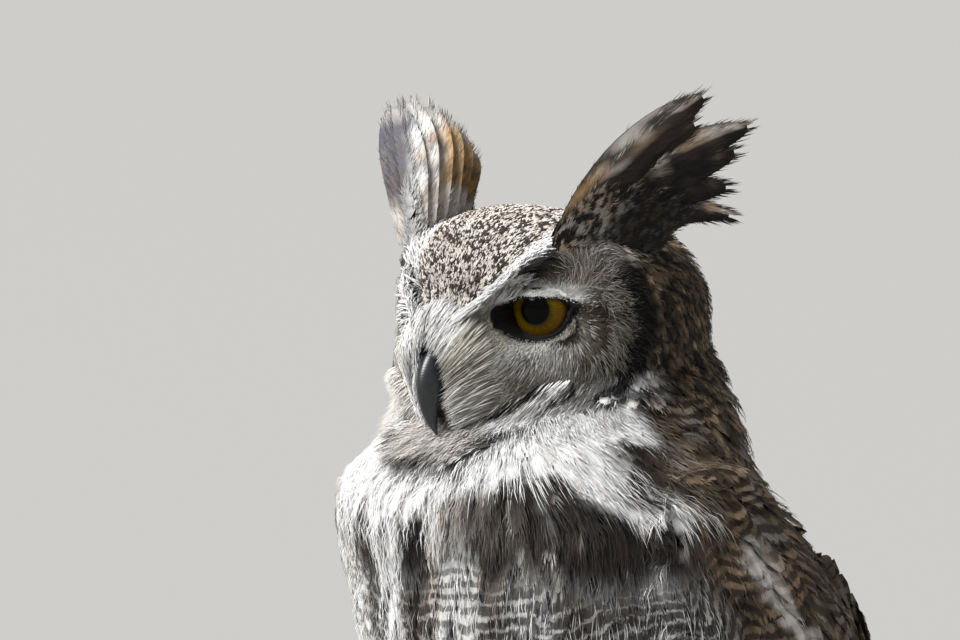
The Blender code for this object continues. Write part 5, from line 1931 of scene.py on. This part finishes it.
def make_talons(material):
    for side_name, side in SIDES.items():
        for toe, (bearing, length, reach) in TOES.items():
            turn = math.radians(bearing)
            way = np.array((side * math.sin(turn), -math.cos(turn), 0))
            start = row(side * FOOT_ACROSS, FOOT_BACK, 0) + way * (PAD_RADIUS - 6 + length - 8)
            rising = ((0, 8), (0.55, 15.5), (1.02, 13), (1, 1.2))
            spine = [start + way * reach * ahead + UP * above for ahead, above in rising]
            t = np.linspace(0, 0.98, 22)
            mid = bezier(spine, t)
            ahead = unit(np.gradient(mid, axis=0))
            across = np.cross(way, UP)
            over = np.cross(across, ahead)
            radius = TALON_RADIUS * (1 - t**1.4) + 0.15
            columns = 18
            round_claw = 2 * math.pi * np.arange(columns) / columns
            ring = (
                mid[:, None]
                + radius[:, None, None] * 0.92 * np.cos(round_claw)[None, :, None] * across
                + radius[:, None, None] * 1.1 * np.sin(round_claw)[None, :, None] * over[:, None]
            )
            points = np.concatenate((ring.reshape(-1, 3), [mid[0], spine[-1]]))
            triangles = outward(points - points.mean(0), grid_triangles(len(t), columns))
            piece = mesh_piece(f"claw_{toe}_{side_name}", points, triangles, material, "horn")
            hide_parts(f"talon_{toe}_{side_name}")


# Studio ------------

# Where the camera and the light are: their turn from straight ahead, and how high they stand.
VIEW_TURN, VIEW_RISE = math.radians(57), math.radians(4)
LIGHT_TURN, LIGHT_RISE = math.radians(2), math.radians(44)
LENS, SENSOR = 200.0, 36.0
# The width of the view at the eye, and the eye's place in it, as shares from its middle.
VIEW_WIDTH = 374.0
EYE_IN_VIEW = (0.0588, -0.0164)


def way_to(turn, rise):
    """The way to a place round the bird, from its front towards its left and up."""
    return Vector((math.sin(turn) * math.cos(rise), -math.cos(turn) * math.cos(rise), math.sin(rise)))


def make_studio():
    """A wide pale floor, an even pale sky, and a broad soft key light from the bird's front."""
    bm = bmesh.new()
    bmesh.ops.create_circle(bm, cap_ends=True, segments=96, radius=60.0)
    mesh = bpy.data.meshes.new("floor")
    bm.to_mesh(mesh)
    bm.free()
    floor = placed("floor", mesh)
    material, shader = new_material("floor_paper", 0.9)
    shader.inputs["Base Color"].default_value = (*linear("#a4a3a0"), 1)
    mesh.materials.append(material)
    world = bpy.data.worlds.new("studio")
    world.use_nodes = True
    world.node_tree.nodes["Background"].inputs["Color"].default_value = (*linear("#e6e6e8"), 1)
    world.node_tree.nodes["Background"].inputs["Strength"].default_value = 0.42
    bpy.context.scene.world = world
    light = bpy.data.lights.new("key", "SUN")
    light.energy = 5.9
    light.angle = math.radians(34)
    way = way_to(LIGHT_TURN, LIGHT_RISE)
    placed("key", light).rotation_euler = (-way).to_track_quat("-Z", "Y").to_euler()
    bpy.context.scene.view_settings.view_transform = "Standard"


def make_camera():
    """A long lens from the bird's front left, a little above its eyes, close on head and chest."""
    centre, _, _, looks = eye_axes(1)
    iris = Vector((centre + looks * 13.5 + HOME) * MM)
    way = way_to(VIEW_TURN, VIEW_RISE)
    right = Vector((math.cos(VIEW_TURN), math.sin(VIEW_TURN), 0))
    upward = way.cross(right)
    aim = iris - right * EYE_IN_VIEW[0] * VIEW_WIDTH * MM + upward * EYE_IN_VIEW[1] * VIEW_WIDTH * MM * 0.667
    data = bpy.data.cameras.new("camera")
    data.lens, data.sensor_width = LENS, SENSOR
    data.clip_end = 200
    camera = placed("camera", data)
    camera.location = aim + way * (VIEW_WIDTH * MM * LENS / SENSOR)
    camera.rotation_euler = (-way).to_track_quat("-Z", "Y").to_euler()
    bpy.context.scene.camera = camera


# Making the owl ------------


def make_owl():
    skin = Skin()
    covering = mesh_piece(
        "skin", skin.points, skin.triangles, skin_material(), "plumage_grey", tint=skin_colour(skin.points)
    )
    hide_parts(*FLESH)
    fine = feather_material("feather_hairlike", 2.2, 0.16)
    soft = feather_material("feather_soft", 1.6, 0.18)
    firm = feather_material("feather_firm", 1.3, 0.22, roughness=0.62)
    face_coat(skin, fine)
    ruff_coat(skin, fine)
    bristles(skin, fine)
    crown_coat(skin, fine)
    side_coat(skin, soft)
    breast_coat(skin, soft)
    back_coat(skin, soft)
    leg_coat(skin, soft)
    ear_tufts(firm)
    wing_feathers(skin, firm)
    tail_feathers(firm)
    eye = eye_material()
    for side_name in SIDES:
        make_eye(side_name, eye)
    horn = horn_material("horn_slate", "#0b0d10", "#23282e")
    make_bill(horn)
    make_talons(horn)


make_studio()
make_camera()
make_owl()
